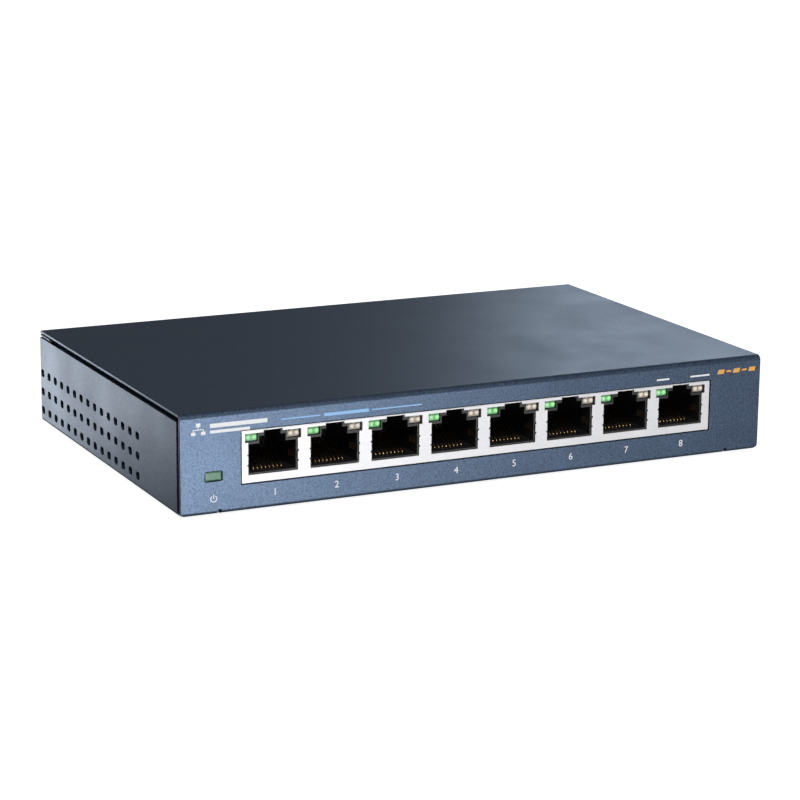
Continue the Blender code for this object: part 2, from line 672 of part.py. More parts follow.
def make_leds(green, white):
    """Two indicator LEDs in each port, each with a pair of domes."""
    body = bmesh.new()
    add_box(body, (-LED_HALF_WIDTH, LED_FRONT_Y, -LED_HALF_HEIGHT), (LED_HALF_WIDTH, LED_REAR_Y, LED_HALF_HEIGHT))
    led = part("led", mesh_of(body, "led"), None)
    domes = bmesh.new()
    for side in (-1, 1):
        place = Matrix.Translation((side * LED_DOME_X, LED_FRONT_Y, 0.0))
        bmesh.ops.create_uvsphere(domes, u_segments=8, v_segments=6, radius=LED_DOME_RADIUS, matrix=place)
    join(led, domes)
    shape = finished_mesh(led)
    smooth(shape)
    for side, colour, finish in ((-1, "green", green), (1, "white", white)):
        mesh = shape.copy()
        mesh.materials.clear()
        for index in range(PORT_COUNT):
            x = port_x(index) + side * LED_X
            part(f"port_{index + 1}_{colour}_led", mesh, finish, (x, 0.0, LED_Z))


def contact_path():
    """Side view of one spring wire, from its pivot round the bend to its free end."""
    return (
        (0.0, 0.0),
        (-0.45 * MM, 0.1 * MM),
        (-0.55 * MM, 0.5 * MM),
        (-0.2 * MM, 0.8 * MM),
        (CONTACT_TIP_Y - CONTACT_AXIS_Y, CONTACT_TIP_Z - CONTACT_AXIS_Z),
    )


def make_contacts(finish):
    """Each port's eight spring wires, joined by a bar on the axis they bend about."""
    curve = bpy.data.curves.new("contact_wires", "CURVE")
    curve.dimensions = "3D"
    curve.bevel_depth = CONTACT_RADIUS
    curve.bevel_resolution = 0
    curve.use_fill_caps = True
    for wire in range(CONTACT_COUNT):
        x = (wire - (CONTACT_COUNT - 1) / 2) * CONTACT_PITCH
        path = contact_path()
        spline = curve.splines.new("POLY")
        spline.points.add(len(path) - 1)
        for point, (y, z) in zip(spline.points, path):
            point.co = (x, y, z, 1.0)
    wires = finished_mesh(part("contact_wires", curve, finish))
    bm = bmesh.new()
    bm.from_mesh(wires)
    bmesh.ops.remove_doubles(bm, verts=bm.verts[:], dist=0.001 * MM)
    comb = part("contact_comb", mesh_of(bm, "contact_comb"), None)
    bar = bmesh.new()
    reach = CONTACT_PITCH * CONTACT_COUNT / 2
    half = CONTACT_BAR_HALF
    add_box(bar, (-reach, -half, -half), (reach, half, half))
    join(comb, bar)
    mesh = finished_mesh(comb)
    mesh.materials.clear()
    for index in range(PORT_COUNT):
        place = (port_x(index), CONTACT_AXIS_Y, CONTACT_AXIS_Z)
        part(f"port_{index + 1}_contacts", mesh, finish, place)


# ---------------------------------------------------------------- board and what stands on it

def make_board(finish):
    """The main circuit board with its four screw holes."""
    bm = bmesh.new()
    add_box(bm, (-BOARD_HALF_WIDTH, BOARD_FRONT_Y, BOARD_TOP_Z - BOARD_THICKNESS),
            (BOARD_HALF_WIDTH, BOARD_REAR_Y, BOARD_TOP_Z))
    board = part("main_board", mesh_of(bm, "main_board"), finish)
    holes = bmesh.new()
    for x in (-STANDOFF_X, STANDOFF_X):
        for y in (-STANDOFF_Y, STANDOFF_Y):
            add_cylinder(holes, SCREW_RADIUS + SCREW_CLEARANCE, (x, y, 0.0), (x, y, 2 * BOARD_TOP_Z), 2, 16)
    cut(board, holes)


def board_block(name, centre, size, finish, radius=0.0, bottom=SEAT_Z):
    """A component that stands on the board, sizes in mm, with upright edges rounded if a radius is given."""
    half = Vector((size[0] / 2, size[1] / 2, 0.0)) * MM
    low = Vector((centre[0] * MM, centre[1] * MM, bottom)) - half
    high = low + Vector(size) * MM
    bm = bmesh.new()
    if radius:
        add_rounded_box(bm, low, high, 2, radius * MM, steps=4)
    else:
        add_box(bm, low, high)
    return part(name, mesh_of(bm, name), finish)


def make_board_parts(finishes):
    """Chips, magnetics and power parts on the board."""
    for name, (x, y, width, depth, height, radius, finish) in BOARD_BLOCKS.items():
        board_block(name, (x, y), (width, depth, height), finishes[finish], radius)
    for number, x in enumerate(CAPACITORS_X, 1):
        bm = bmesh.new()
        add_cylinder(bm, CAPACITOR_RADIUS, (x, CAPACITOR_Y, SEAT_Z),
                     (x, CAPACITOR_Y, SEAT_Z + CAPACITOR_HEIGHT), 2)
        mesh = mesh_of(bm, "bulk_capacitor")
        smooth(mesh)
        part(f"bulk_capacitor_{number}", mesh, finishes["capacitor"])
    make_heat_sink(finishes["sink"])


def make_heat_sink(finish):
    """A finned sink over the switch chip."""
    place = BOARD_BLOCKS["switch_chip"][:2]
    sink = board_block("heat_sink", place, HEAT_SINK_SIZE, finish, bottom=HEAT_SINK_BOTTOM_Z)
    slots = bmesh.new()
    reach = HEAT_SINK_SIZE[1] * MM
    floor = HEAT_SINK_BOTTOM_Z + HEAT_SINK_BASE
    for slot in range(HEAT_SINK_SLOTS):
        x = (slot - (HEAT_SINK_SLOTS - 1) / 2) * HEAT_SINK_PITCH
        add_box(slots, (x - HEAT_SINK_SLOT_HALF, -reach, floor), (x + HEAT_SINK_SLOT_HALF, reach, TOP_Z))
    cut(sink, slots)


def make_power_light(lens, led):
    """A light pipe with a rectangular face in the front panel, and the LED behind it."""
    bm = bmesh.new()
    add_rounded_box(bm, (LENS_X - LENS_HALF_WIDTH, LENS_FRONT_Y, LENS_Z - LENS_HALF_HEIGHT),
                    (LENS_X + LENS_HALF_WIDTH, LENS_REAR_Y, LENS_Z + LENS_HALF_HEIGHT), 1, LENS_CORNER_RADIUS)
    pipe = part("power_light_pipe", mesh_of(bm, "power_light_pipe"), lens)
    leg = bmesh.new()
    rear = LENS_REAR_Y - 0.2 * MM
    add_box(leg, (LENS_X - LIGHT_LEG_HALF_WIDTH, rear - LIGHT_LEG_DEPTH, SEAT_Z),
            (LENS_X + LIGHT_LEG_HALF_WIDTH, rear, LENS_Z))
    join(pipe, leg)
    board_block("power_led", (LENS_X / MM, POWER_LED_Y), POWER_LED_SIZE, led)


def make_power_jack(plastic, metal, spring_metal):
    """Barrel jack: moulded body, centre pin, and the spring that presses on the plug's sleeve."""
    bm = bmesh.new()
    add_box(bm, (JACK_X - JACK_HALF_WIDTH, JACK_FRONT_Y, SEAT_Z),
            (JACK_X + JACK_HALF_WIDTH, JACK_REAR_Y, SEAT_Z + JACK_HEIGHT))
    body = part("dc_jack_body", mesh_of(bm, "dc_jack_body"), plastic)
    bore = bmesh.new()
    add_cylinder(bore, JACK_BORE_RADIUS, (JACK_X, JACK_BORE_END_Y, JACK_Z), (JACK_X, JACK_REAR_Y + MM, JACK_Z), 1)
    cut(body, bore)
    narrow = bmesh.new()
    clearance = JACK_PIN_RADIUS + SCREW_CLEARANCE
    add_cylinder(narrow, clearance, (JACK_X, JACK_FRONT_Y + MM, JACK_Z), (JACK_X, JACK_REAR_Y, JACK_Z), 1, 16)
    cut(body, narrow)
    slot = bmesh.new()
    add_box(slot, (JACK_X - JACK_SLOT_HALF_WIDTH, JACK_SPRING_Y - 0.9 * MM, JACK_SLOT_FLOOR_Z),
            (JACK_X + JACK_SLOT_HALF_WIDTH, JACK_SLOT_END_Y, JACK_Z - JACK_BORE_RADIUS + 0.6 * MM))
    cut(body, slot)

    bm = bmesh.new()
    add_cylinder(bm, JACK_PIN_RADIUS, (0, JACK_FRONT_Y + 1.3 * MM, 0), (0, JACK_REAR_Y - MM, 0), 1, 16)
    mesh = mesh_of(bm, "dc_jack_pin")
    smooth(mesh)
    part("dc_jack_pin", mesh, metal, (JACK_X, 0.0, JACK_Z))

    rises = (JACK_SPRING_RISE, JACK_SPRING_RISE, JACK_SPRING_DIP)
    profile = [(0.0, 0.0), *zip(JACK_SPRING_LENGTHS, rises)]
    mesh = swept_sheet("dc_jack_spring", profile, 0, JACK_SPRING_HALF_WIDTH)
    spring = part("dc_jack_spring", mesh, spring_metal, (JACK_X, JACK_SPRING_Y, JACK_SPRING_Z))
    thicken(spring, JACK_SPRING_SHEET, 0.0)


def main():
    clear_scene()
    steel = material("cover_paint", (0.11, 0.145, 0.20), 0.42, 0.35)
    make_top_cover(steel)
    make_base_tray(material("tray_paint", (0.10, 0.13, 0.18), 0.45, 0.35))
    make_feet(material("foot_rubber", (0.03, 0.03, 0.035), 0.85))
    make_screws(material("board_screw_steel", (0.6, 0.6, 0.62), 0.35, 1.0),
                material("cover_screw_steel", (0.25, 0.26, 0.28), 0.4, 1.0))
    make_shield(material("tinned_shield", (0.80, 0.80, 0.82), 0.3, 0.6))
    make_housing(material("jack_plastic", (0.012, 0.012, 0.013), 0.45))
    make_leds(material("green_led", (0.35, 0.75, 0.38), 0.3, emission=0.5),
              material("white_led", (0.75, 0.72, 0.62), 0.3))
    make_contacts(material("gold_contact", (0.85, 0.62, 0.25), 0.25, 1.0))
    make_board(material("board_laminate", (0.02, 0.14, 0.06), 0.5))
    make_board_parts({
        "chip": material("chip_epoxy", (0.02, 0.02, 0.022), 0.55),
        "magnetics": material("magnetics_moulding", (0.018, 0.018, 0.02), 0.5),
        "can": material("crystal_can", (0.62, 0.62, 0.64), 0.25, 1.0),
        "ferrite": material("inductor_ferrite", (0.07, 0.07, 0.075), 0.6),
        "capacitor": material("capacitor_sleeve", (0.02, 0.03, 0.09), 0.4),
        "sink": material("heat_sink_aluminium", (0.55, 0.56, 0.58), 0.35, 1.0),
    })
    make_power_light(material("power_lens", (0.06, 0.35, 0.12), 0.3, emission=0.1),
                     material("power_led", (0.3, 0.7, 0.35), 0.3))
    make_power_jack(material("power_jack_plastic", (0.015, 0.015, 0.015), 0.45),
                    material("jack_pin_nickel", (0.65, 0.64, 0.6), 0.25, 1.0),
                    material("jack_spring_bronze", (0.7, 0.55, 0.3), 0.3, 1.0))


main()
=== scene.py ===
"""Looks of a desktop network switch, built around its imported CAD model.

Lengths are millimetres in the CAD model's frame unless a name ends in _M: +X right, -Y front, +Z up.
"""
import json
import math

import bmesh
import bpy
from mathutils import Matrix, Vector


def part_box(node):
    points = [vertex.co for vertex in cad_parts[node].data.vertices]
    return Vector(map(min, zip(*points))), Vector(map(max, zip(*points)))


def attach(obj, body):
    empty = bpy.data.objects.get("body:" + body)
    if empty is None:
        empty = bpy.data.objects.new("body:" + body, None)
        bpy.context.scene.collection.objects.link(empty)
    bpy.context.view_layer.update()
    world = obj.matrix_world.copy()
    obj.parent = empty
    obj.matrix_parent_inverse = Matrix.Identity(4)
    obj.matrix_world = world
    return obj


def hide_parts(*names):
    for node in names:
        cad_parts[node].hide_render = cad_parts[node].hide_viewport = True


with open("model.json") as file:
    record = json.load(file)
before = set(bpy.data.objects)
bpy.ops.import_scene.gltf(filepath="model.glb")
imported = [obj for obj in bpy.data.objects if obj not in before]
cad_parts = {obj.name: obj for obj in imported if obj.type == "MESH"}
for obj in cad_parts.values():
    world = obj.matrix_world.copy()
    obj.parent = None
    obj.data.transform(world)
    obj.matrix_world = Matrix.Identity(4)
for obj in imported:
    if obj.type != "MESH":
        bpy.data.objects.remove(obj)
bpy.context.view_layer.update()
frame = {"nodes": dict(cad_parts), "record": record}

MM = 0.001


def node_box(name):
    """Lowest and highest corners of a CAD node, in millimetres."""
    low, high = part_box(name)
    return low / MM, high / MM


# ---------------------------------------------------------------- sizes taken from the CAD model
CASE_LOW, CASE_HIGH = node_box("top_cover")
TRAY_HIGH = node_box("base_tray")[1]
SHIELD_LOW, SHIELD_HIGH = node_box("jack_shield")
HOUSING_LOW, HOUSING_HIGH = node_box("jack_housing")
LENS_LOW, LENS_HIGH = node_box("power_light_pipe")
PIN_LOW, PIN_HIGH = node_box("dc_jack_pin")
SIDE_X = CASE_HIGH.x
FRONT_Y = CASE_LOW.y
REAR_Y = CASE_HIGH.y
TOP_Z = CASE_HIGH.z
BOTTOM_Z = CASE_LOW.z
SEAT_Z = SHIELD_LOW.z
PORTS = range(1, 9)
PORT_X = {n: sum(corner.x for corner in node_box(f"port_{n}_contacts")) / 2 for n in PORTS}

# Case
SHEET = 0.8
GAP = 0.3
TOP_FOLD = 1.4
BOTTOM_FOLD = 0.9
FLANGE_DEPTH = 8.0
FLANGE_HALF = 69.0
FLANGE_LOW_Z = 19.0
FLANGE_UPRIGHT = 4.0
RELIEF_RADIUS = 0.55
CORNER_RADIUS = 1.5
WALL_TOP_Z = 23.3
WALL_FRONT_Y = FRONT_Y + SHEET + 1.3
WALL_REAR_Y = TRAY_HIGH.y
TRAY_HALF_DEPTH = REAR_Y - SHEET - GAP
TAB_LENGTH = 8.0
TAB_TOP_Z = TRAY_HIGH.z
LIP_HALF = 68.4
VENT_COLUMNS = 15
VENT_PITCH = 5.08
VENT_REAR_Y = 48.77
VENT_ROWS_Z = (3.95, 8.95, 13.9)
VENT_LENGTH = 2.4
VENT_HEIGHT = 1.9
WINDOW_MARGIN = (0.3, 0.25)
LOCK_SLOT = (62.0, 13.0, 3.5, 1.5)
JACK_HOLE_RADIUS = 3.9
COVER_SCREW = (55.0, 46.0)
STANDOFF = (70.0, 26.0)
SCREW_HOLE_RADIUS = 1.65
KEYHOLE_X = 40.0
BOARD_TOP_Z = node_box("main_board")[1].z
BOARD_UNDER_Z = node_box("main_board")[0].z

# Jack block
SHIELD_SHEET = 0.3
OPENING_LOW_Z = 9.2
OPENING_HIGH_Z = 19.2
OPENING_HALF = 6.3
LED_WINDOW_HALF = 7.12
LED_WINDOW_LOW_Z = 17.0
NOTCH_HALF = 2.4
RELIEFS_Z = (11.54, 13.98)
FINGER_RELIEF = 0.27
CAVITY_HALF = 5.95
CAVITY_REAR_Y = -32.0
CAVITY_FLOOR_Z = 9.6
CAVITY_ROOF_Z = 16.5
STEP_HALF = 3.35
STEP_REAR_Y = -38.0
STEP_ROOF_Z = 18.3
LATCH_HALF = 2.05
LATCH_REAR_Y = -41.0
TROUGH_HALF = 4.4
TROUGH_FRONT_Y = -47.35
TROUGH_REAR_Y = -44.4
TROUGH_FLOOR_Z = 8.4
LED_POCKET_GAP = 0.1
LED_POCKET_REAR_Y = -45.7
WIRES = 8
WIRE_PITCH = 1.016
WIRE_RADIUS = 0.2


# ---------------------------------------------------------------- mesh helpers

def add_box(bm, low, high):
    low, high = Vector(low), Vector(high)
    matrix = Matrix.Translation((low + high) / 2) @ Matrix.Diagonal((*(high - low), 1.0))
    return bmesh.ops.create_cube(bm, size=1.0, matrix=matrix)["verts"]


def add_rounded_box(bm, low, high, axis, radius, steps=3):
    """A box whose four edges along one axis are rounded."""
    verts = set(add_box(bm, low, high))
    edges = []
    for edge in bm.edges:
        run = edge.verts[1].co - edge.verts[0].co
        if edge.verts[0] in verts and abs(run[axis]) > 0.999 * run.length:
            edges.append(edge)
    bmesh.ops.bevel(bm, geom=edges, offset=radius, segments=steps, affect="EDGES", profile=0.5)


def add_cylinder(bm, radius, low, high, axis, segments=32, radius_high=None):
    low, high = Vector(low), Vector(high)
    turn = (Matrix.Rotation(math.pi / 2, 4, "Y"), Matrix.Rotation(-math.pi / 2, 4, "X"), Matrix.Identity(4))
    bmesh.ops.create_cone(
        bm, cap_ends=True, segments=segments, radius1=radius,
        radius2=radius if radius_high is None else radius_high,
        depth=(high - low).length, matrix=Matrix.Translation((low + high) / 2) @ turn[axis])


def add_prism(bm, outline, axis, low, high):
    """A flat outline, given in the two other axes in order, drawn out along one axis."""
    def corner(point, along):
        coords = list(point)
        coords.insert(axis, along)
        return bm.verts.new(coords)
    start = [corner(point, low) for point in outline]
    end = [corner(point, high) for point in outline]
    bm.faces.new(start)
    bm.faces.new(list(reversed(end)))
    for index in range(len(outline)):
        following = (index + 1) % len(outline)
        bm.faces.new((start[index], end[index], end[following], start[following]))


def mesh_of(bm, name):
    bmesh.ops.recalc_face_normals(bm, faces=bm.faces[:])
    mesh = bpy.data.meshes.new(name)
    bm.to_mesh(mesh)
    bm.free()
    return mesh


def new_object(name, mesh):
    obj = bpy.data.objects.new(name, mesh)
    bpy.context.scene.collection.objects.link(obj)
    return obj


def apply_modifiers(obj):
    bpy.context.view_layer.update()
    evaluated = obj.evaluated_get(bpy.context.evaluated_depsgraph_get())
    mesh = bpy.data.meshes.new_from_object(evaluated)
    old = obj.data
    obj.modifiers.clear()
    obj.data = mesh
    bpy.data.meshes.remove(old)


def carve(obj, bm, operation="DIFFERENCE"):
    """Cut a shape out of an object, or join it on, at once."""
    tool = new_object("carving_tool", mesh_of(bm, "carving_tool"))
    modifier = obj.modifiers.new("carve", "BOOLEAN")
    modifier.operation = operation
    modifier.solver = "EXACT"
    modifier.object = tool
    apply_modifiers(obj)
    bpy.data.meshes.remove(tool.data)


def soften_edges(obj, width, segments=2, angle=35.0):
    """Round every hard edge a little and keep the flat faces shading flat."""
    modifier = obj.modifiers.new("soft_edges", "BEVEL")
    modifier.width = width
    modifier.segments = segments
    modifier.limit_method = "ANGLE"
    modifier.angle_limit = math.radians(angle)
    modifier.use_clamp_overlap = False
    apply_modifiers(obj)


def shade(obj, angle=50.0):
    obj.data.shade_smooth()
    obj.data.set_sharp_from_angle(angle=math.radians(angle))
    modifier = obj.modifiers.new("flat_faces", "WEIGHTED_NORMAL")
    modifier.keep_sharp = True
    modifier.weight = 80
    apply_modifiers(obj)


def add_piece(obj, finish, body="case", replaces=(), scale=MM):
    """Bring a finished shape to metres, give it its material and let it ride on its body."""
    obj.data.transform(Matrix.Scale(scale, 4))
    obj.data.materials.clear()
    obj.data.materials.append(finish)
    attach(obj, body)
    if replaces:
        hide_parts(*replaces)
    return obj


def arc(centre, radius, start, end, steps):
    points = []
    for step in range(steps + 1):
        angle = math.radians(start + (end - start) * step / steps)
        points.append((centre[0] + radius * math.cos(angle), centre[1] + radius * math.sin(angle)))
    return points


def swept_sheet(name, profile, axis, half_length, thickness):
    """A folded sheet: a line swept along X (0) or Y (1), thickened behind its face."""
    bm = bmesh.new()
    start = []
    for across, up in profile:
        start.append(bm.verts.new((-half_length, across, up) if axis == 0 else (across, -half_length, up)))
    edges = [bm.edges.new(pair) for pair in zip(start, start[1:])]
    swept = bmesh.ops.extrude_edge_only(bm, edges=edges)["geom"]
    moved = [item for item in swept if isinstance(item, bmesh.types.BMVert)]
    step = Vector((0.0, 0.0, 0.0))
    step[axis] = 2 * half_length
    bmesh.ops.translate(bm, verts=moved, vec=step)
    mesh = bpy.data.meshes.new(name)
    bm.to_mesh(mesh)
    bm.free()
    obj = new_object(name, mesh)
    modifier = obj.modifiers.new("thickness", "SOLIDIFY")
    modifier.thickness = thickness
    modifier.offset = -1.0
    modifier.use_even_offset = True
    apply_modifiers(obj)
    return obj


def round_rims(obj, axis, offset, segments=3):
    """Round the long edges of a swept sheet's two rims, which face along one axis."""
    bm = bmesh.new()
    bm.from_mesh(obj.data)
    edges = []
    for edge in bm.edges:
        facing = [abs(face.normal[axis]) > 0.9 for face in edge.link_faces]
        if len(facing) == 2 and facing[0] != facing[1]:
            edges.append(edge)
    bmesh.ops.bevel(bm, geom=edges, offset=offset, segments=segments, affect="EDGES", profile=0.5)
    bm.to_mesh(obj.data)
    bm.free()


# ---------------------------------------------------------------- materials

class Nodes:
    """A material's nodes, made in order and joined by name."""

    def __init__(self, name):
        self.material = bpy.data.materials.new(name)
        self.material.use_nodes = True
        self.tree = self.material.node_tree
        self.shader = self.tree.nodes["Principled BSDF"]
        self.coords = self.tree.nodes.new("ShaderNodeTexCoord").outputs["Object"]

    def link(self, output, target):
        self.tree.links.new(output, target)

    def noise(self, scale, detail=3.0, roughness=0.55, stretch=None):
        """Noise with cells of 1/scale metres."""
        source = self.coords
        if stretch:
            mapping = self.tree.nodes.new("ShaderNodeMapping")
            mapping.inputs["Scale"].default_value = stretch
            self.link(source, mapping.inputs["Vector"])
            source = mapping.outputs["Vector"]
        node = self.tree.nodes.new("ShaderNodeTexNoise")
        node.inputs["Scale"].default_value = scale
        node.inputs["Detail"].default_value = detail
        node.inputs["Roughness"].default_value = roughness
        self.link(source, node.inputs["Vector"])
        return node.outputs["Fac"]

    def ramp(self, source, stops):
        """Colour or grey from a value: stops are (position, value or colour)."""
        node = self.tree.nodes.new("ShaderNodeValToRGB")
        elements = node.color_ramp.elements
        while len(elements) < len(stops):
            elements.new(0.5)
        for element, (position, value) in zip(elements, stops):
            element.position = position
            colour = (value, value, value) if isinstance(value, float) else value
            element.color = (*colour, 1.0)
        self.link(source, node.inputs["Fac"])
        return node.outputs["Color"]

    def axis(self, index):
        node = self.tree.nodes.new("ShaderNodeSeparateXYZ")
        self.link(self.coords, node.inputs["Vector"])
        return node.outputs[index]

    def spread(self, source, low, high):
        """A value mapped from a range to 0..1."""
        node = self.tree.nodes.new("ShaderNodeMapRange")
        node.inputs["From Min"].default_value = low
        node.inputs["From Max"].default_value = high
        self.link(source, node.inputs["Value"])
        return node.outputs["Result"]

    def bump(self, source, strength, distance):
        node = self.tree.nodes.new("ShaderNodeBump")
        node.inputs["Strength"].default_value = strength
        node.inputs["Distance"].default_value = distance
        self.link(source, node.inputs["Height"])
        if self.shader.inputs["Normal"].links:
            self.link(self.shader.inputs["Normal"].links[0].from_socket, node.inputs["Normal"])
        self.link(node.outputs["Normal"], self.shader.inputs["Normal"])

    def set(self, **values):
        for name, value in values.items():
            self.shader.inputs[name.replace("_", " ")].default_value = value


def paint(name, dark, light, metallic, roughness):
    """Fine textured metallic paint: flakes and orange peel about 0.4 mm across."""
    nodes = Nodes(name)
    flakes = nodes.noise(2300.0, 3.0, 0.6)
    nodes.link(nodes.ramp(flakes, ((0.34, dark), (0.66, light))), nodes.shader.inputs["Base Color"])
    cloud = nodes.noise(60.0, 2.0)
    nodes.link(nodes.ramp(cloud, ((0.3, roughness - 0.03), (0.7, roughness + 0.03))),
               nodes.shader.inputs["Roughness"])
    nodes.bump(nodes.noise(1900.0, 2.0), 0.35, 0.00004)
    nodes.set(Metallic=metallic)
    return nodes.material


def speckled(name, dark, light, roughness, metallic=0.0, scale=1500.0, bump=0.2, depth=0.00003, stretch=None,
             spread=0.06, **values):
    """A surface with two close shades, uneven gloss and a fine grain."""
    nodes = Nodes(name)
    grain = nodes.noise(scale, 4.0, 0.6, stretch)
    nodes.link(nodes.ramp(grain, ((0.3, dark), (0.7, light))), nodes.shader.inputs["Base Color"])
    uneven = nodes.noise(scale / 9, 3.0)
    nodes.link(nodes.ramp(uneven, ((0.3, roughness - spread), (0.7, roughness + spread))),
               nodes.shader.inputs["Roughness"])
    nodes.bump(grain, bump, depth)
    nodes.set(Metallic=metallic, **values)
    return nodes.material


def led_lens(name, highlight_tip, shaded_root, glow):
    """Tinted resin that glows faintly: its colour runs from a painted highlight at the dome tips to painted
    shade at the back of the lens, inside its pocket.
    """
    nodes = Nodes(name)
    # Painted highlight at the front of the domes, painted shade towards the back in the pocket; the glow
    # carries the same colours.
    along = nodes.spread(nodes.axis("Y"), -50.05 * MM, -48.9 * MM)
    colour = nodes.ramp(along, ((0.0, highlight_tip), (0.45, highlight_tip), (0.75, shaded_root)))
    nodes.link(colour, nodes.shader.inputs["Base Color"])
    nodes.link(colour, nodes.shader.inputs["Emission Color"])
    nodes.bump(nodes.noise(900.0, 2.0), 0.15, 0.00004)
    uneven = nodes.ramp(nodes.noise(700.0, 2.0), ((0.3, 0.16), (0.7, 0.26)))
    nodes.link(uneven, nodes.shader.inputs["Roughness"])
    nodes.set(Emission_Strength=glow, Coat_Weight=0.3, Coat_Roughness=0.1)
    return nodes.material


def gold_wire(name):
    """Gold plated wire: gold at its front bend, lifted a little there as a painted highlight, and darkening
    to painted shade further back in the port.
    """
    nodes = Nodes(name)
    along = nodes.spread(nodes.axis("Y"), -46.7 * MM, -45.7 * MM)
    # Painted highlight at the front bend, painted shade towards the back of the port.
    lit_gold, middle, shaded_gold = (0.80, 0.52, 0.20), (0.72, 0.46, 0.18), (0.14, 0.075, 0.03)
    colour = nodes.ramp(along, ((0.0, lit_gold), (0.45, middle), (1.0, shaded_gold)))
    nodes.link(colour, nodes.shader.inputs["Base Color"])
    grain = nodes.noise(900.0, 3.0)
    nodes.link(nodes.ramp(grain, ((0.3, 0.22), (0.7, 0.34))), nodes.shader.inputs["Roughness"])
    nodes.bump(grain, 0.05, 0.00003)
    nodes.set(Metallic=1.0)
    return nodes.material


MATERIALS = {
    "cover_paint": paint("cover_paint", (0.048, 0.075, 0.122), (0.105, 0.152, 0.235), 0.65, 0.36),
    "tray_paint": paint("tray_paint", (0.048, 0.075, 0.122), (0.105, 0.152, 0.235), 0.65, 0.36),
    "tinned_steel": speckled(
        "tinned_steel", (0.70, 0.70, 0.72), (0.80, 0.80, 0.82), 0.38, 0.25, 900.0, 0.08, stretch=(1.0,
        1.0, 6.0)),
    # Grounding fingers: a bronze brown darkened far below real bronze, as painted shade for the fingers
    # inside the dark openings.
    "shaded_finger_bronze": speckled("shaded_finger_bronze", (0.20, 0.15, 0.11), (0.32, 0.25, 0.19), 0.4, 1.0, 900.0, 0.06),
    "jack_plastic": speckled(
        "jack_plastic", (0.010, 0.010, 0.011), (0.020, 0.020, 0.022), 0.45, scale=1800.0),
    "gold_contact": gold_wire("gold_contact"),
    # LED colours: a painted highlight at the dome tips, painted shade at the back of the lens.
    "green_led": led_lens("green_led", (0.36, 0.80, 0.36), (0.03, 0.16, 0.06), 0.22),
    "white_led": led_lens("white_led", (0.80, 0.72, 0.60), (0.20, 0.17, 0.14), 0.05),
    "board_laminate": speckled(
        "board_laminate", (0.012, 0.085, 0.035), (0.020, 0.125, 0.055), 0.38, scale=700.0),
    "chip_epoxy": speckled("chip_epoxy", (0.018, 0.018, 0.019), (0.032, 0.032, 0.034), 0.55, scale=2600.0),
    "heat_sink_aluminium": speckled(
        "heat_sink_aluminium", (0.50, 0.51, 0.53), (0.60, 0.61, 0.63), 0.36, 1.0, 900.0, 0.1,
        stretch=(8.0, 0.6, 1.0)),
    "magnetics_moulding": speckled("magnetics_moulding", (0.014, 0.014, 0.015), (0.026, 0.026, 0.028), 0.5),
    "crystal_can": speckled("crystal_can", (0.56, 0.56, 0.58), (0.66, 0.66, 0.68), 0.26, 1.0, 800.0, 0.06),
    "inductor_ferrite": speckled("inductor_ferrite", (0.045, 0.045, 0.05), (0.075, 0.075, 0.08), 0.62),
    "capacitor_sleeve": speckled(
        "capacitor_sleeve", (0.014, 0.022, 0.07), (0.024, 0.035, 0.10), 0.34, scale=500.0),
    "power_jack_plastic": speckled("power_jack_plastic", (0.010, 0.010, 0.010), (0.02, 0.02, 0.021), 0.42),
    "jack_pin_nickel": speckled(
        "jack_pin_nickel", (0.60, 0.58, 0.54), (0.70, 0.68, 0.64), 0.2, 1.0, 900.0, 0.05),
    "jack_spring_bronze": speckled(
        "jack_spring_bronze", (0.60, 0.44, 0.22), (0.74, 0.58, 0.33), 0.3, 1.0, 900.0, 0.06),
    "board_screw_steel": speckled(
        "board_screw_steel", (0.52, 0.52, 0.54), (0.64, 0.64, 0.67), 0.32, 1.0, 900.0, 0.08),
    "cover_screw_steel": speckled(
        "cover_screw_steel", (0.16, 0.17, 0.19), (0.26, 0.27, 0.30), 0.38, 1.0, 900.0, 0.08),
    "foot_rubber": speckled(
        "foot_rubber", (0.018, 0.018, 0.019), (0.034, 0.034, 0.036), 0.82, scale=1600.0, bump=0.4),
    "power_led": speckled("power_led", (0.20, 0.55, 0.25), (0.30, 0.70, 0.36), 0.25, scale=600.0),
    "power_lens": speckled(
        "power_lens", (0.022, 0.120, 0.055), (0.040, 0.190, 0.085), 0.24, scale=420.0, bump=0.12,
        Coat_Weight=0.4, Coat_Roughness=0.12),
}


# ---------------------------------------------------------------- case

def cover_profile():
    """Outer line of the cover in the YZ plane: flange, front, top, rear, flange."""
    low, high = BOTTOM_FOLD, TOP_FOLD
    points = [(FRONT_Y + FLANGE_DEPTH, BOTTOM_Z)]
    points += arc((FRONT_Y + low, BOTTOM_Z + low), low, 270, 180, 8)
    points += arc((FRONT_Y + high, TOP_Z - high), high, 180, 90, 12)
    points += arc((REAR_Y - high, TOP_Z - high), high, 90, 0, 12)
    points += arc((REAR_Y - low, BOTTOM_Z + low), low, 0, -90, 8)
    points.append((REAR_Y - FLANGE_DEPTH, BOTTOM_Z))
    return points


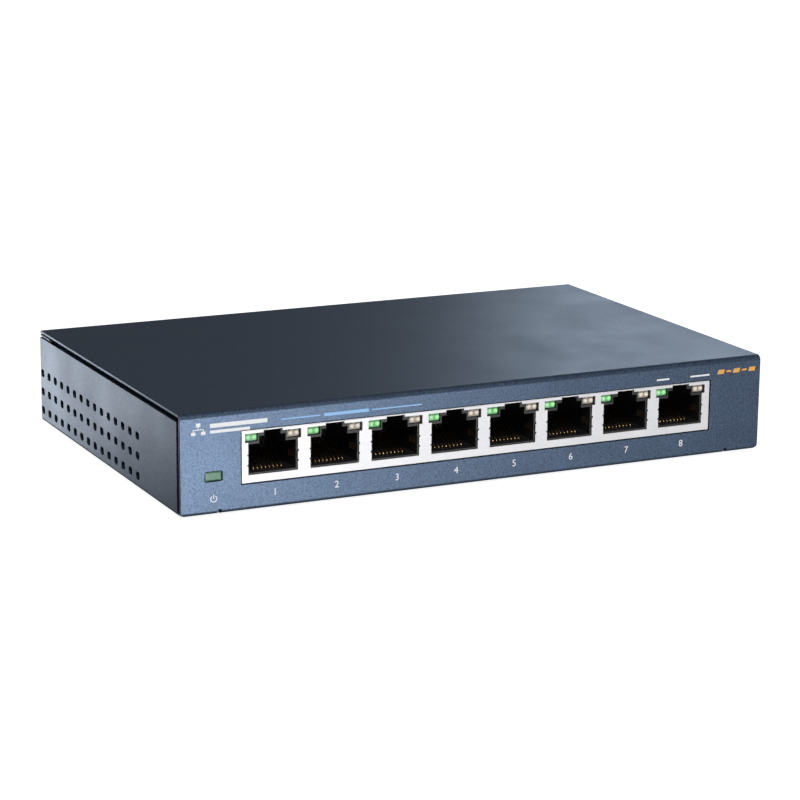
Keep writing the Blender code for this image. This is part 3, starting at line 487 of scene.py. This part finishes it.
def cover_trims():
    """What is cut off the swept cover, as a list of separate cutting shapes."""
    ends = bmesh.new()
    reliefs = bmesh.new()
    rear = bmesh.new()
    for side in (-1, 1):
        xs = sorted((side * FLANGE_HALF, side * (SIDE_X + 1)))
        for end in (-1, 1):
            ys = sorted((end * (REAR_Y - SHEET), end * (REAR_Y - FLANGE_DEPTH - 1)))
            add_box(ends, (xs[0], ys[0], BOTTOM_Z - 1), (xs[1], ys[1], BOTTOM_Z + 2 * SHEET))
            x, y, z = side * (FLANGE_HALF + 0.2), end * REAR_Y, BOTTOM_Z + 0.55
            add_cylinder(reliefs, RELIEF_RADIUS, (x, y - 2 * SHEET, z), (x, y + 2 * SHEET, z), 1, 20)
        xs = sorted((side * (SIDE_X - SHEET - GAP), side * (SIDE_X + 1)))
        add_box(rear, (xs[0], REAR_Y - 1.5 * SHEET, BOTTOM_Z - 1), (xs[1], REAR_Y + 1, TAB_TOP_Z + GAP))
    corners = bmesh.new()
    reach = CORNER_RADIUS
    for side in (-1, 1):
        centre = (side * (SIDE_X - reach), BOTTOM_Z + reach)
        outline = [(side * (SIDE_X + 1), BOTTOM_Z + reach), (side * (SIDE_X + 1), BOTTOM_Z - 1),
                   (centre[0], BOTTOM_Z - 1)]
        outline += arc(centre, reach, 270, 360 if side > 0 else 180, 8)
        add_prism(corners, outline, 1, FRONT_Y - 1, REAR_Y + 1)
    return ends, reliefs, rear, corners


def cover_openings():
    """Window, power light hole, jack hole, lock slot and screw holes."""
    window = bmesh.new()
    add_rounded_box(window, (SHIELD_LOW.x - WINDOW_MARGIN[0], FRONT_Y - 1, SEAT_Z - WINDOW_MARGIN[1]),
                    (SHIELD_HIGH.x + WINDOW_MARGIN[0], FRONT_Y + 2 * SHEET, SHIELD_HIGH.z + WINDOW_MARGIN[1]),
                    1, 0.25)
    lens_z = LENS_HIGH.z
    add_rounded_box(window, (LENS_LOW.x - 0.15, FRONT_Y - 1, lens_z - 2.31),
                    (LENS_HIGH.x + 0.15, FRONT_Y + 2 * SHEET, lens_z + 0.15), 1, 0.4)
    rear = REAR_Y - 2 * SHEET
    x, z = (PIN_LOW.x + PIN_HIGH.x) / 2, (PIN_LOW.z + PIN_HIGH.z) / 2
    add_cylinder(window, JACK_HOLE_RADIUS, (x, rear, z), (x, REAR_Y + 1, z), 1, 48)
    x, z, half_x, half_z = LOCK_SLOT
    add_rounded_box(window, (x - half_x, rear, z - half_z), (x + half_x, REAR_Y + 1, z + half_z), 1, 0.6)
    x, y = COVER_SCREW
    for side in (-1, 1):
        add_cylinder(window, SCREW_HOLE_RADIUS, (side * x, y, -1), (side * x, y, BOTTOM_Z + 2 * SHEET), 2, 24)
    return window


def make_cover():
    """Top, front and rear panels of one folded sheet, with inner flanges at the sides."""
    cover = swept_sheet("top_cover_sheet", cover_profile(), 0, SIDE_X, SHEET)
    round_rims(cover, 0, 0.2)
    for trim in cover_trims():
        carve(cover, trim)
    upright = (FRONT_Y + SHEET / 2, FRONT_Y + FLANGE_UPRIGHT, BOTTOM_Z + 3 * SHEET)
    level = (FRONT_Y + FLANGE_UPRIGHT - SHEET, REAR_Y - 2, FLANGE_LOW_Z)
    for front, rear, low in (upright, level):
        flanges = bmesh.new()
        for side in (-1, 1):
            inner = SIDE_X - 2 * SHEET - GAP
            xs = sorted((side * inner, side * (inner + SHEET)))
            add_box(flanges, (xs[0], front, low), (xs[1], rear, TOP_Z - SHEET / 2))
        carve(cover, flanges, "UNION")
    carve(cover, cover_openings())
    soften_edges(cover, 0.07)
    shade(cover)
    return add_piece(cover, MATERIALS["cover_paint"], replaces=("top_cover",))


def tray_profile():
    radius = BOTTOM_FOLD
    points = [(-SIDE_X, WALL_TOP_Z)]
    points += arc((-SIDE_X + radius, BOTTOM_Z + radius), radius, 180, 270, 8)
    points += arc((SIDE_X - radius, BOTTOM_Z + radius), radius, 270, 360, 8)
    points.append((SIDE_X, WALL_TOP_Z))
    return points


def make_tray():
    """Bottom and both vented side walls of one folded sheet."""
    tray = swept_sheet("base_tray_sheet", tray_profile(), 1, WALL_REAR_Y, SHEET)
    pockets = bmesh.new()
    flange_end = REAR_Y - FLANGE_DEPTH - 0.4
    for end in (-1, 1):
        ys = sorted((end * flange_end, end * (REAR_Y + 1)))
        half = FLANGE_HALF + 0.05
        add_box(pockets, (-half, ys[0], BOTTOM_Z - 1), (half, ys[1], BOTTOM_Z + 2 * SHEET))
    carve(tray, pockets)
    ends = bmesh.new()
    wall_inner = SIDE_X - SHEET - 0.1
    for side in (-1, 1):
        xs = sorted((side * wall_inner, side * (SIDE_X + 1)))
        add_box(ends, (xs[0], FRONT_Y, BOTTOM_Z + BOTTOM_FOLD + 0.1), (xs[1], WALL_FRONT_Y, WALL_TOP_Z + 1))
    add_box(ends, (-wall_inner, TRAY_HALF_DEPTH, BOTTOM_Z - 1),
            (wall_inner, REAR_Y + 1, BOTTOM_Z + 2 * SHEET))
    carve(tray, ends)
    front = bmesh.new()
    add_box(front, (-SIDE_X - 1, FRONT_Y - 1, BOTTOM_Z - 1), (SIDE_X + 1, -TRAY_HALF_DEPTH, WALL_TOP_Z + 1))
    carve(tray, front)

    lips = bmesh.new()
    lip_low = BOTTOM_Z + SHEET + GAP
    for end in (-1, 1):
        ys = sorted((end * (flange_end - SHEET), end * TRAY_HALF_DEPTH))
        add_box(lips, (-LIP_HALF, ys[0], lip_low), (LIP_HALF, ys[1], lip_low + SHEET))
    carve(tray, lips, "UNION")
    risers = bmesh.new()
    for end in (-1, 1):
        ys = sorted((end * (flange_end - 1.1 * SHEET), end * (flange_end - 0.05)))
        add_box(risers, (-LIP_HALF - 0.1, ys[0], BOTTOM_Z + 0.05),
                (LIP_HALF + 0.1, ys[1], lip_low + SHEET - 0.05))
    for x in (-STANDOFF[0], STANDOFF[0]):
        for y in (-STANDOFF[1], STANDOFF[1]):
            add_cylinder(risers, 3.4, (x, y, BOTTOM_Z + SHEET / 2), (x, y, BOARD_UNDER_Z - GAP), 2, 32, 2.9)
    for side in (-1, 1):
        xs = sorted((side * (SIDE_X - SHEET + 0.05), side * (SIDE_X - 0.45)))
        add_box(risers, (xs[0], WALL_REAR_Y - TAB_LENGTH, WALL_TOP_Z - 1),
                (xs[1], WALL_REAR_Y - 0.1, TAB_TOP_Z))
    carve(tray, risers, "UNION")
    hooks = bmesh.new()
    for side in (-1, 1):
        xs = sorted((side * (SIDE_X - 0.6), side * (SIDE_X - 0.02)))
        add_rounded_box(hooks, (xs[0], WALL_REAR_Y - TAB_LENGTH, TAB_TOP_Z - 0.42),
                        (xs[1], WALL_REAR_Y - 0.1, TAB_TOP_Z - 0.01), 2, 0.25)
    carve(tray, hooks, "UNION")

    holes = bmesh.new()
    for x in (-STANDOFF[0], STANDOFF[0]):
        for y in (-STANDOFF[1], STANDOFF[1]):
            add_cylinder(holes, SCREW_HOLE_RADIUS, (x, y, -1), (x, y, BOARD_TOP_Z), 2, 24)
    for side in (-1, 1):
        x, y = side * COVER_SCREW[0], COVER_SCREW[1]
        add_cylinder(holes, SCREW_HOLE_RADIUS, (x, y, -1), (x, y, BOARD_TOP_Z), 2, 24)
        add_cylinder(holes, 4.2, (side * KEYHOLE_X, 0, -1), (side * KEYHOLE_X, 0, BOARD_TOP_Z), 2, 40)
    carve(tray, holes)
    necks = bmesh.new()
    for side in (-1, 1):
        x = side * KEYHOLE_X
        add_rounded_box(necks, (x - 2.1, -2.0, -1), (x + 2.1, 8.0, BOARD_TOP_Z), 2, 2.0, 6)
    carve(tray, necks)
    vents = bmesh.new()
    for side in (-1, 1):
        xs = sorted((side * (SIDE_X - 2 * SHEET), side * (SIDE_X + 1)))
        for column in range(VENT_COLUMNS):
            y = VENT_REAR_Y - column * VENT_PITCH
            for z in VENT_ROWS_Z:
                add_rounded_box(vents, (xs[0], y - VENT_LENGTH / 2, z - VENT_HEIGHT / 2),
                                (xs[1], y + VENT_LENGTH / 2, z + VENT_HEIGHT / 2), 0, 0.7, 4)
    carve(tray, vents)
    soften_edges(tray, 0.07)
    shade(tray)
    return add_piece(tray, MATERIALS["tray_paint"], replaces=("base_tray",))


# ---------------------------------------------------------------- jack block

def port_outline(x):
    """A port's outline in the shield: plug opening with four finger reliefs, LED corners, latch notch."""
    half, wide, notch = OPENING_HALF, LED_WINDOW_HALF, NOTCH_HALF
    plate = SHIELD_HIGH.z - SHIELD_SHEET
    side = [(half, OPENING_LOW_Z)]
    for z in RELIEFS_Z:
        side += [(half + point[0], z + point[1]) for point in arc((0, 0), FINGER_RELIEF, -90, 90, 8)]
    side += [(half, LED_WINDOW_LOW_Z), (wide, LED_WINDOW_LOW_Z), (wide, OPENING_HIGH_Z),
             (notch, OPENING_HIGH_Z), (notch, plate)]
    left = [(-across, up) for across, up in reversed(side)]
    return [(x + across, up) for across, up in side + left]


def make_shield():
    """Thin tinned box round the jack block, open below, with eight openings and their grounding fingers."""
    low, high, sheet = SHIELD_LOW, SHIELD_HIGH, SHIELD_SHEET
    bm = bmesh.new()
    add_box(bm, (low.x, low.y, SEAT_Z), (high.x, high.y, high.z))
    shield = new_object("jack_shield_can", mesh_of(bm, "jack_shield_can"))
    inner = bmesh.new()
    add_box(inner, (low.x + sheet, low.y + sheet, SEAT_Z - 1),
            (high.x - sheet, high.y - sheet, high.z - sheet))
    carve(shield, inner)
    openings = bmesh.new()
    for n in PORTS:
        add_prism(openings, port_outline(PORT_X[n]), 1, low.y - 1, low.y + 2 * sheet)
    carve(shield, openings)
    steps = bmesh.new()
    for n in PORTS:
        for side in (-1, 1):
            xs = sorted((PORT_X[n] + side * (NOTCH_HALF - 1), PORT_X[n] + side * (LED_WINDOW_HALF - 0.2)))
            add_box(steps, (xs[0], low.y - 1, high.z - 0.16), (xs[1], low.y + 0.12, high.z + 1))
    carve(shield, steps)
    soften_edges(shield, 0.045)
    fingers = bmesh.new()
    for n in PORTS:
        for side in (-1, 1):
            add_finger(fingers, PORT_X[n], side)
    springs = new_object("jack_shield_fingers", mesh_of(fingers, "jack_shield_fingers"))
    shade(springs)
    add_piece(springs, MATERIALS["shaded_finger_bronze"])
    shade(shield)
    return add_piece(shield, MATERIALS["tinned_steel"], replaces=("jack_shield",))


def add_finger(bm, x, side):
    """A grounding finger: from the edge of the opening back into the port, bowed towards the plug."""
    y = SHIELD_LOW.y
    path = [(OPENING_HALF + 0.1, y + 0.15), (OPENING_HALF - 0.05, y + 0.28), (OPENING_HALF - 0.2, y + 0.8),
            (OPENING_HALF - 0.35, y + 1.8), (OPENING_HALF - 0.55, y + 2.8), (OPENING_HALF - 0.85, y + 3.6)]
    low, high = RELIEFS_Z[0] + FINGER_RELIEF, RELIEFS_Z[1] - FINGER_RELIEF
    half = 0.09
    loops = []
    for index, (across, back) in enumerate(path):
        before, after = path[max(index - 1, 0)], path[min(index + 1, len(path) - 1)]
        run = Vector((after[0] - before[0], after[1] - before[1])).normalized()
        normal = Vector((run.y, -run.x)) * half
        taper = 0.0 if index < 2 else 0.18 * min(1.0, (index - 1) / 3)
        ring = []
        for sign, z in ((1, low + taper), (1, high - taper), (-1, high - taper), (-1, low + taper)):
            point = (x + side * (across + sign * normal.x), back + sign * normal.y, z)
            ring.append(bm.verts.new(point))
        loops.append(ring)
    bm.faces.new(loops[0])
    bm.faces.new(list(reversed(loops[-1])))
    for one, two in zip(loops, loops[1:]):
        for index in range(4):
            following = (index + 1) % 4
            bm.faces.new((one[index], two[index], two[following], one[following]))


def make_housing():
    """One black moulding with eight stepped cavities, LED pockets and contact troughs."""
    low, high = HOUSING_LOW, HOUSING_HIGH
    bm = bmesh.new()
    add_box(bm, low, high)
    housing = new_object("jack_housing_moulding", mesh_of(bm, "jack_housing_moulding"))
    mouth = low.y - 1
    steps = (
        (CAVITY_HALF, mouth, CAVITY_REAR_Y, CAVITY_FLOOR_Z, CAVITY_ROOF_Z),
        (STEP_HALF, mouth, STEP_REAR_Y, CAVITY_ROOF_Z - 1, STEP_ROOF_Z),
        (LATCH_HALF, mouth, LATCH_REAR_Y, STEP_ROOF_Z - 1, high.z + 1),
        (TROUGH_HALF, TROUGH_FRONT_Y, TROUGH_REAR_Y, TROUGH_FLOOR_Z, CAVITY_FLOOR_Z + 1),
    )
    for half, near, far, bottom, top in steps:
        cavity = bmesh.new()
        for n in PORTS:
            add_box(cavity, (PORT_X[n] - half, near, bottom), (PORT_X[n] + half, far, top))
        carve(housing, cavity)
    combs = bmesh.new()
    for n in PORTS:
        for wire in range(WIRES):
            x = PORT_X[n] + wire_x(wire)
            add_box(combs, (x - 0.3, -36.4, 9.3), (x + 0.3, -31.0, 15.9))
    carve(housing, combs)
    pockets = bmesh.new()
    for n in PORTS:
        for colour in ("green", "white"):
            led_low, led_high = node_box(f"port_{n}_{colour}_led")
            add_box(pockets, (led_low.x - LED_POCKET_GAP, mouth, led_low.z - LED_POCKET_GAP),
                    (led_high.x + LED_POCKET_GAP, LED_POCKET_REAR_Y, led_high.z + LED_POCKET_GAP))
    carve(housing, pockets)
    soften_edges(housing, 0.06)
    shade(housing)
    return add_piece(housing, MATERIALS["jack_plastic"], replaces=("jack_housing",))


def make_leds():
    """Indicator LEDs, each a clear body with a pair of domes."""
    for n in PORTS:
        for colour in ("green", "white"):
            node = f"port_{n}_{colour}_led"
            low, high = node_box(node)
            centre = (low + high) / 2
            radius = 0.72
            face_y = low.y + 0.7
            bm = bmesh.new()
            add_rounded_box(bm, (low.x, face_y, low.z), high, 1, 0.2)
            led = new_object(f"port_{n}_{colour}_light", mesh_of(bm, "light"))
            domes = bmesh.new()
            for side in (-1, 1):
                place = Matrix.Translation((centre.x + side * 0.78, face_y + 0.02, centre.z))
                place = place @ Matrix.Diagonal((1.0, 1.05, 1.0, 1.0)) @ Matrix.Rotation(math.pi / 2, 4, "X")
                bmesh.ops.create_uvsphere(domes, u_segments=24, v_segments=14, radius=radius, matrix=place)
            carve(led, domes, "UNION")
            shade(led, 60)
            add_piece(led, MATERIALS[f"{colour}_led"], replaces=(node,))


def wire_x(wire):
    """A wire's place across its port, from the port's middle."""
    return (wire - (WIRES - 1) / 2) * WIRE_PITCH


def wire_path():
    """Side view of one spring wire: out of the trough, round its front bend and up to its free end."""
    points = [(-44.9, 9.14), (-45.6, 9.12), (-46.3, 9.12)]
    points += arc((-46.42, 9.5), 0.38, 262, 118, 9)
    points += [(-45.9, 10.12), (-44.5, 10.95), (-42.0, 12.4), (-39.5, 13.8), (-37.6, 14.85), (-36.7, 15.28)]
    return points


def make_contacts():
    """Each port's eight round spring wires."""
    curve = bpy.data.curves.new("contact_wires", "CURVE")
    curve.dimensions = "3D"
    curve.bevel_depth = WIRE_RADIUS
    curve.bevel_resolution = 3
    curve.use_fill_caps = True
    for wire in range(WIRES):
        spline = curve.splines.new("POLY")
        path = wire_path()
        spline.points.add(len(path) - 1)
        for point, (y, z) in zip(spline.points, path):
            point.co = (wire_x(wire), y, z, 1.0)
    for n in PORTS:
        obj = new_object(f"port_{n}_spring_wires", curve)
        bpy.context.view_layer.update()
        mesh = bpy.data.meshes.new_from_object(obj.evaluated_get(bpy.context.evaluated_depsgraph_get()))
        bpy.data.objects.remove(obj)
        mesh.transform(Matrix.Translation((PORT_X[n], 0, 0)))
        wires = new_object(f"port_{n}_spring_wires", mesh)
        shade(wires, 60)
        add_piece(wires, MATERIALS["gold_contact"], body=f"port_{n}_contacts",
                  replaces=(f"port_{n}_contacts",))


def make_power_light():
    """The light pipe: a slightly crowned face in the panel, a bend and a leg down to the LED."""
    low, high = LENS_LOW, LENS_HIGH
    bottom = high.z - 2.16
    bm = bmesh.new()
    add_rounded_box(bm, (low.x, low.y + 0.1, bottom), (high.x, high.y, high.z), 1, 0.25)
    pipe = new_object("power_light_lens", mesh_of(bm, "power_light_lens"))
    crown = bmesh.new()
    add_rounded_box(crown, (low.x + 0.2, low.y, bottom + 0.2),
                    (high.x - 0.2, low.y + 0.5, high.z - 0.2), 1, 0.2)
    carve(pipe, crown, "UNION")
    leg = bmesh.new()
    centre = (low.x + high.x) / 2
    add_box(leg, (centre - 1.5, -48.0, low.z), (centre + 1.5, -46.2, high.z - 0.5))
    carve(pipe, leg, "UNION")
    soften_edges(pipe, 0.08)
    shade(pipe)
    add_piece(pipe, MATERIALS["power_lens"], replaces=("power_light_pipe",))


# ---------------------------------------------------------------- printed marks

PRINT_Y = FRONT_Y - 0.012
PRINT_DEPTH = 0.03
NUMERAL_SHIFT = 0.4


def ink(name, dark, light):
    return speckled(name, dark, light, 0.5, scale=3000.0, bump=0.15, depth=0.00001)


def numeral(bm, text, x, z, height):
    """A plain numeral, centred on x and z, drawn on the front panel."""
    curve = bpy.data.curves.new("numeral", "FONT")
    curve.body = text
    curve.size = height / 0.73
    curve.align_x = "CENTER"
    curve.resolution_u = 6
    curve.extrude = PRINT_DEPTH / 2
    obj = new_object("numeral", curve)
    bpy.context.view_layer.update()
    mesh = bpy.data.meshes.new_from_object(obj.evaluated_get(bpy.context.evaluated_depsgraph_get()))
    bpy.data.objects.remove(obj)
    across = [v.co.x for v in mesh.vertices]
    up = [v.co.y for v in mesh.vertices]
    middle = Vector((-(min(across) + max(across)) / 2, -(min(up) + max(up)) / 2, 0))
    mesh.transform(Matrix.Translation(middle))
    mesh.transform(Matrix.Rotation(math.pi / 2, 4, "X"))
    mesh.transform(Matrix.Translation((x, PRINT_Y + PRINT_DEPTH / 2, z)))
    bm.from_mesh(mesh)
    bpy.data.meshes.remove(mesh)


def bar(bm, x, z, width, height, slant=0.0):
    """A printed bar, centred on x and z, leaning right by slant at its top."""
    half_x, half_z = width / 2, height / 2
    outline = [(x - half_x - slant / 2, z - half_z), (x + half_x - slant / 2, z - half_z),
               (x + half_x + slant / 2, z + half_z), (x - half_x + slant / 2, z + half_z)]
    add_prism(bm, outline, 1, PRINT_Y, PRINT_Y + PRINT_DEPTH)


def ring(bm, x, z, radius, width, start, end):
    """A printed arc of a ring, in degrees."""
    outline = arc((x, z), radius, start, end, 28) + arc((x, z), radius - width, end, start, 28)
    add_prism(bm, outline, 1, PRINT_Y, PRINT_Y + PRINT_DEPTH)


def make_prints():
    white = bmesh.new()
    for n in PORTS:
        numeral(white, str(n), PORT_X[n] + NUMERAL_SHIFT, 4.6, 1.75)
    make_network_mark(white, -76.4, 21.6)
    x = (LENS_LOW.x + LENS_HIGH.x) / 2
    ring(white, x, 4.55, 0.85, 0.2, 125, 415)
    bar(white, x, 5.1, 0.2, 1.1)
    for side, width in ((-1, 3.6), (1, 5.6)):
        bar(white, PORT_X[8] + side * 5.4, 21.6, width, 0.42)
    finish_print("print_white", white, ink("print_white", (0.78, 0.79, 0.80), (0.86, 0.87, 0.88)))
    blue = bmesh.new()
    bar(blue, -48.6, 21.9, 10.0, 0.3)
    bar(blue, -36.8, 21.9, 11.6, 0.75)
    bar(blue, -23.6, 21.9, 13.2, 0.3)
    finish_print("print_blue", blue, ink("print_blue", (0.24, 0.47, 0.80), (0.31, 0.55, 0.88)))
    orange = bmesh.new()
    for index, width in enumerate((2.6, 1.4, 2.6, 1.4, 2.6)):
        bar(orange, 67.2 + 2.3 * index, 22.0, min(width, 1.9), 1.1 if index % 2 == 0 else 0.45, 0.3)
    finish_print("print_orange", orange, ink("print_orange", (0.75, 0.34, 0.06), (0.86, 0.42, 0.09)))


def make_network_mark(bm, x, z):
    """A plain network symbol, three linked squares, followed by two bars."""
    bar(bm, x + 2.0, z + 0.95, 1.1, 0.9)
    bar(bm, x + 2.0, z + 0.2, 0.22, 0.7)
    bar(bm, x + 2.0, z - 0.15, 2.7, 0.22)
    for side in (-1, 1):
        bar(bm, x + 2.0 + side * 1.24, z - 0.45, 0.22, 0.5)
        bar(bm, x + 2.0 + side * 1.24, z - 1.05, 1.1, 0.8)
    bar(bm, x + 12.1, z + 0.5, 14.4, 1.0)
    bar(bm, x + 9.9, z - 0.95, 10.0, 0.7)


def finish_print(name, bm, finish):
    add_piece(new_object(name, mesh_of(bm, name)), finish)


# ---------------------------------------------------------------- feet and the carried-over CAD nodes

def make_feet():
    """Rubber feet: a flat pad with a rounded rim and a shallow dished underside."""
    for where in ("front_left", "front_right", "rear_left", "rear_right"):
        low, high = node_box(f"foot_{where}")
        centre = (low + high) / 2
        radius = (high.x - low.x) / 2
        profile = [(0.0, 0.12), (radius * 0.55, 0.12), (radius * 0.7, 0.0), (radius - 0.5, 0.0)]
        profile += arc((radius - 0.35, 0.35), 0.35, 270, 360, 5)[1:] + [(radius, high.z), (0.0, high.z)]
        bm = bmesh.new()
        verts = [bm.verts.new((across, 0, up)) for across, up in profile]
        edges = [bm.edges.new(pair) for pair in zip(verts, verts[1:])]
        bmesh.ops.spin(bm, geom=verts + edges, cent=(0, 0, 0), axis=(0, 0, 1), angle=2 * math.pi, steps=48)
        bmesh.ops.remove_doubles(bm, verts=bm.verts[:], dist=0.0005)
        bmesh.ops.translate(bm, verts=bm.verts[:], vec=(centre.x, centre.y, 0))
        foot = new_object(f"rubber_foot_{where}", mesh_of(bm, "foot"))
        shade(foot, 40)
        add_piece(foot, MATERIALS["foot_rubber"], replaces=(f"foot_{where}",))


def finish_cad_nodes():
    """Give the CAD nodes that stay their detailed materials, by their record slots."""
    for row in frame["record"]["subparts"]:
        obj = frame["nodes"][row["node"]]
        if obj.hide_render:
            continue
        if not obj.data.materials:
            obj.data.materials.append(None)
        for material_slot in obj.material_slots:
            material_slot.material = MATERIALS[row["material_slot"]]


# ---------------------------------------------------------------- studio

CAMERA_TURN = (-0.451735, -0.240932, -0.009914)
CAMERA_PLACE = (-0.29239277, -0.60602416, 0.17523853)
CAMERA_LENS = 120.156


def make_camera():
    """The camera, from its yaw, pitch and roll in radians."""
    yaw, pitch, roll = CAMERA_TURN
    turn = Matrix.Rotation(yaw, 4, "Z") @ Matrix.Rotation(pitch, 4, "X") @ Matrix.Rotation(roll, 4, "Y")
    camera = bpy.data.objects.new("camera", bpy.data.cameras.new("camera"))
    camera.data.lens = CAMERA_LENS
    camera.data.sensor_width = 36.0
    camera.data.clip_start = 0.01
    camera.matrix_world = Matrix.Translation(CAMERA_PLACE) @ turn @ Matrix.Rotation(math.pi / 2, 4, "X")
    bpy.context.scene.collection.objects.link(camera)
    bpy.context.scene.camera = camera


def area_light(name, place, size, power, target=(0.0, 0.0, 0.012), colour=(1.0, 1.0, 1.0)):
    """A soft rectangular light, in metres and watts, aimed at the object."""
    data = bpy.data.lights.new(name, "AREA")
    data.shape = "RECTANGLE"
    data.size, data.size_y = size
    data.energy = power
    data.color = colour
    light = bpy.data.objects.new(name, data)
    light.location = place
    light.rotation_euler = (Vector(target) - Vector(place)).to_track_quat("-Z", "Y").to_euler()
    bpy.context.scene.collection.objects.link(light)


# Each light's place, size, power and colour. Those with a negative height shine up through the floor, which
# casts no shadow, and show as soft reflections in the front panel and the left wall.
LIGHTS = {
    "front_low": ((0.12, -1.28, -0.18), (0.5, 0.4), 9.5, (1.0, 1.0, 1.0)),
    "front_high": ((-0.24, -0.89, 0.92), (0.5, 0.5), 7.0, (1.0, 1.0, 1.0)),
    "rear_left": ((-0.19, 0.42, -0.07), (0.16, 0.08), 0.14, (0.95, 0.98, 1.0)),
    "rear_right": ((0.92, 0.86, 0.36), (0.8, 0.5), 1.8, (0.76, 0.88, 1.0)),
}


def make_studio():
    world = bpy.data.worlds.new("studio")
    bpy.context.scene.world = world
    world.use_nodes = True
    background = world.node_tree.nodes["Background"]
    background.inputs["Color"].default_value = (0.93, 0.96, 1.0, 1.0)
    background.inputs["Strength"].default_value = 0.10
    bpy.context.scene.view_settings.view_transform = "Standard"
    bm = bmesh.new()
    bmesh.ops.create_grid(bm, x_segments=1, y_segments=1, size=6.0)
    floor = new_object("floor", mesh_of(bm, "floor"))
    nodes = Nodes("floor_paper")
    nodes.link(nodes.ramp(nodes.noise(30.0), ((0.0, 0.86), (1.0, 0.90))), nodes.shader.inputs["Base Color"])
    nodes.set(Roughness=0.9, Emission_Color=(1.0, 1.0, 1.0, 1.0), Emission_Strength=0.92)
    floor.data.materials.append(nodes.material)
    floor.visible_glossy = False
    floor.visible_diffuse = False
    floor.visible_shadow = False
    for name, (place, size, power, colour) in LIGHTS.items():
        area_light(name, place, size, power, colour=colour)


make_cover()
make_tray()
make_shield()
make_housing()
make_leds()
make_contacts()
make_power_light()
make_prints()
make_feet()
finish_cad_nodes()
make_camera()
make_studio()
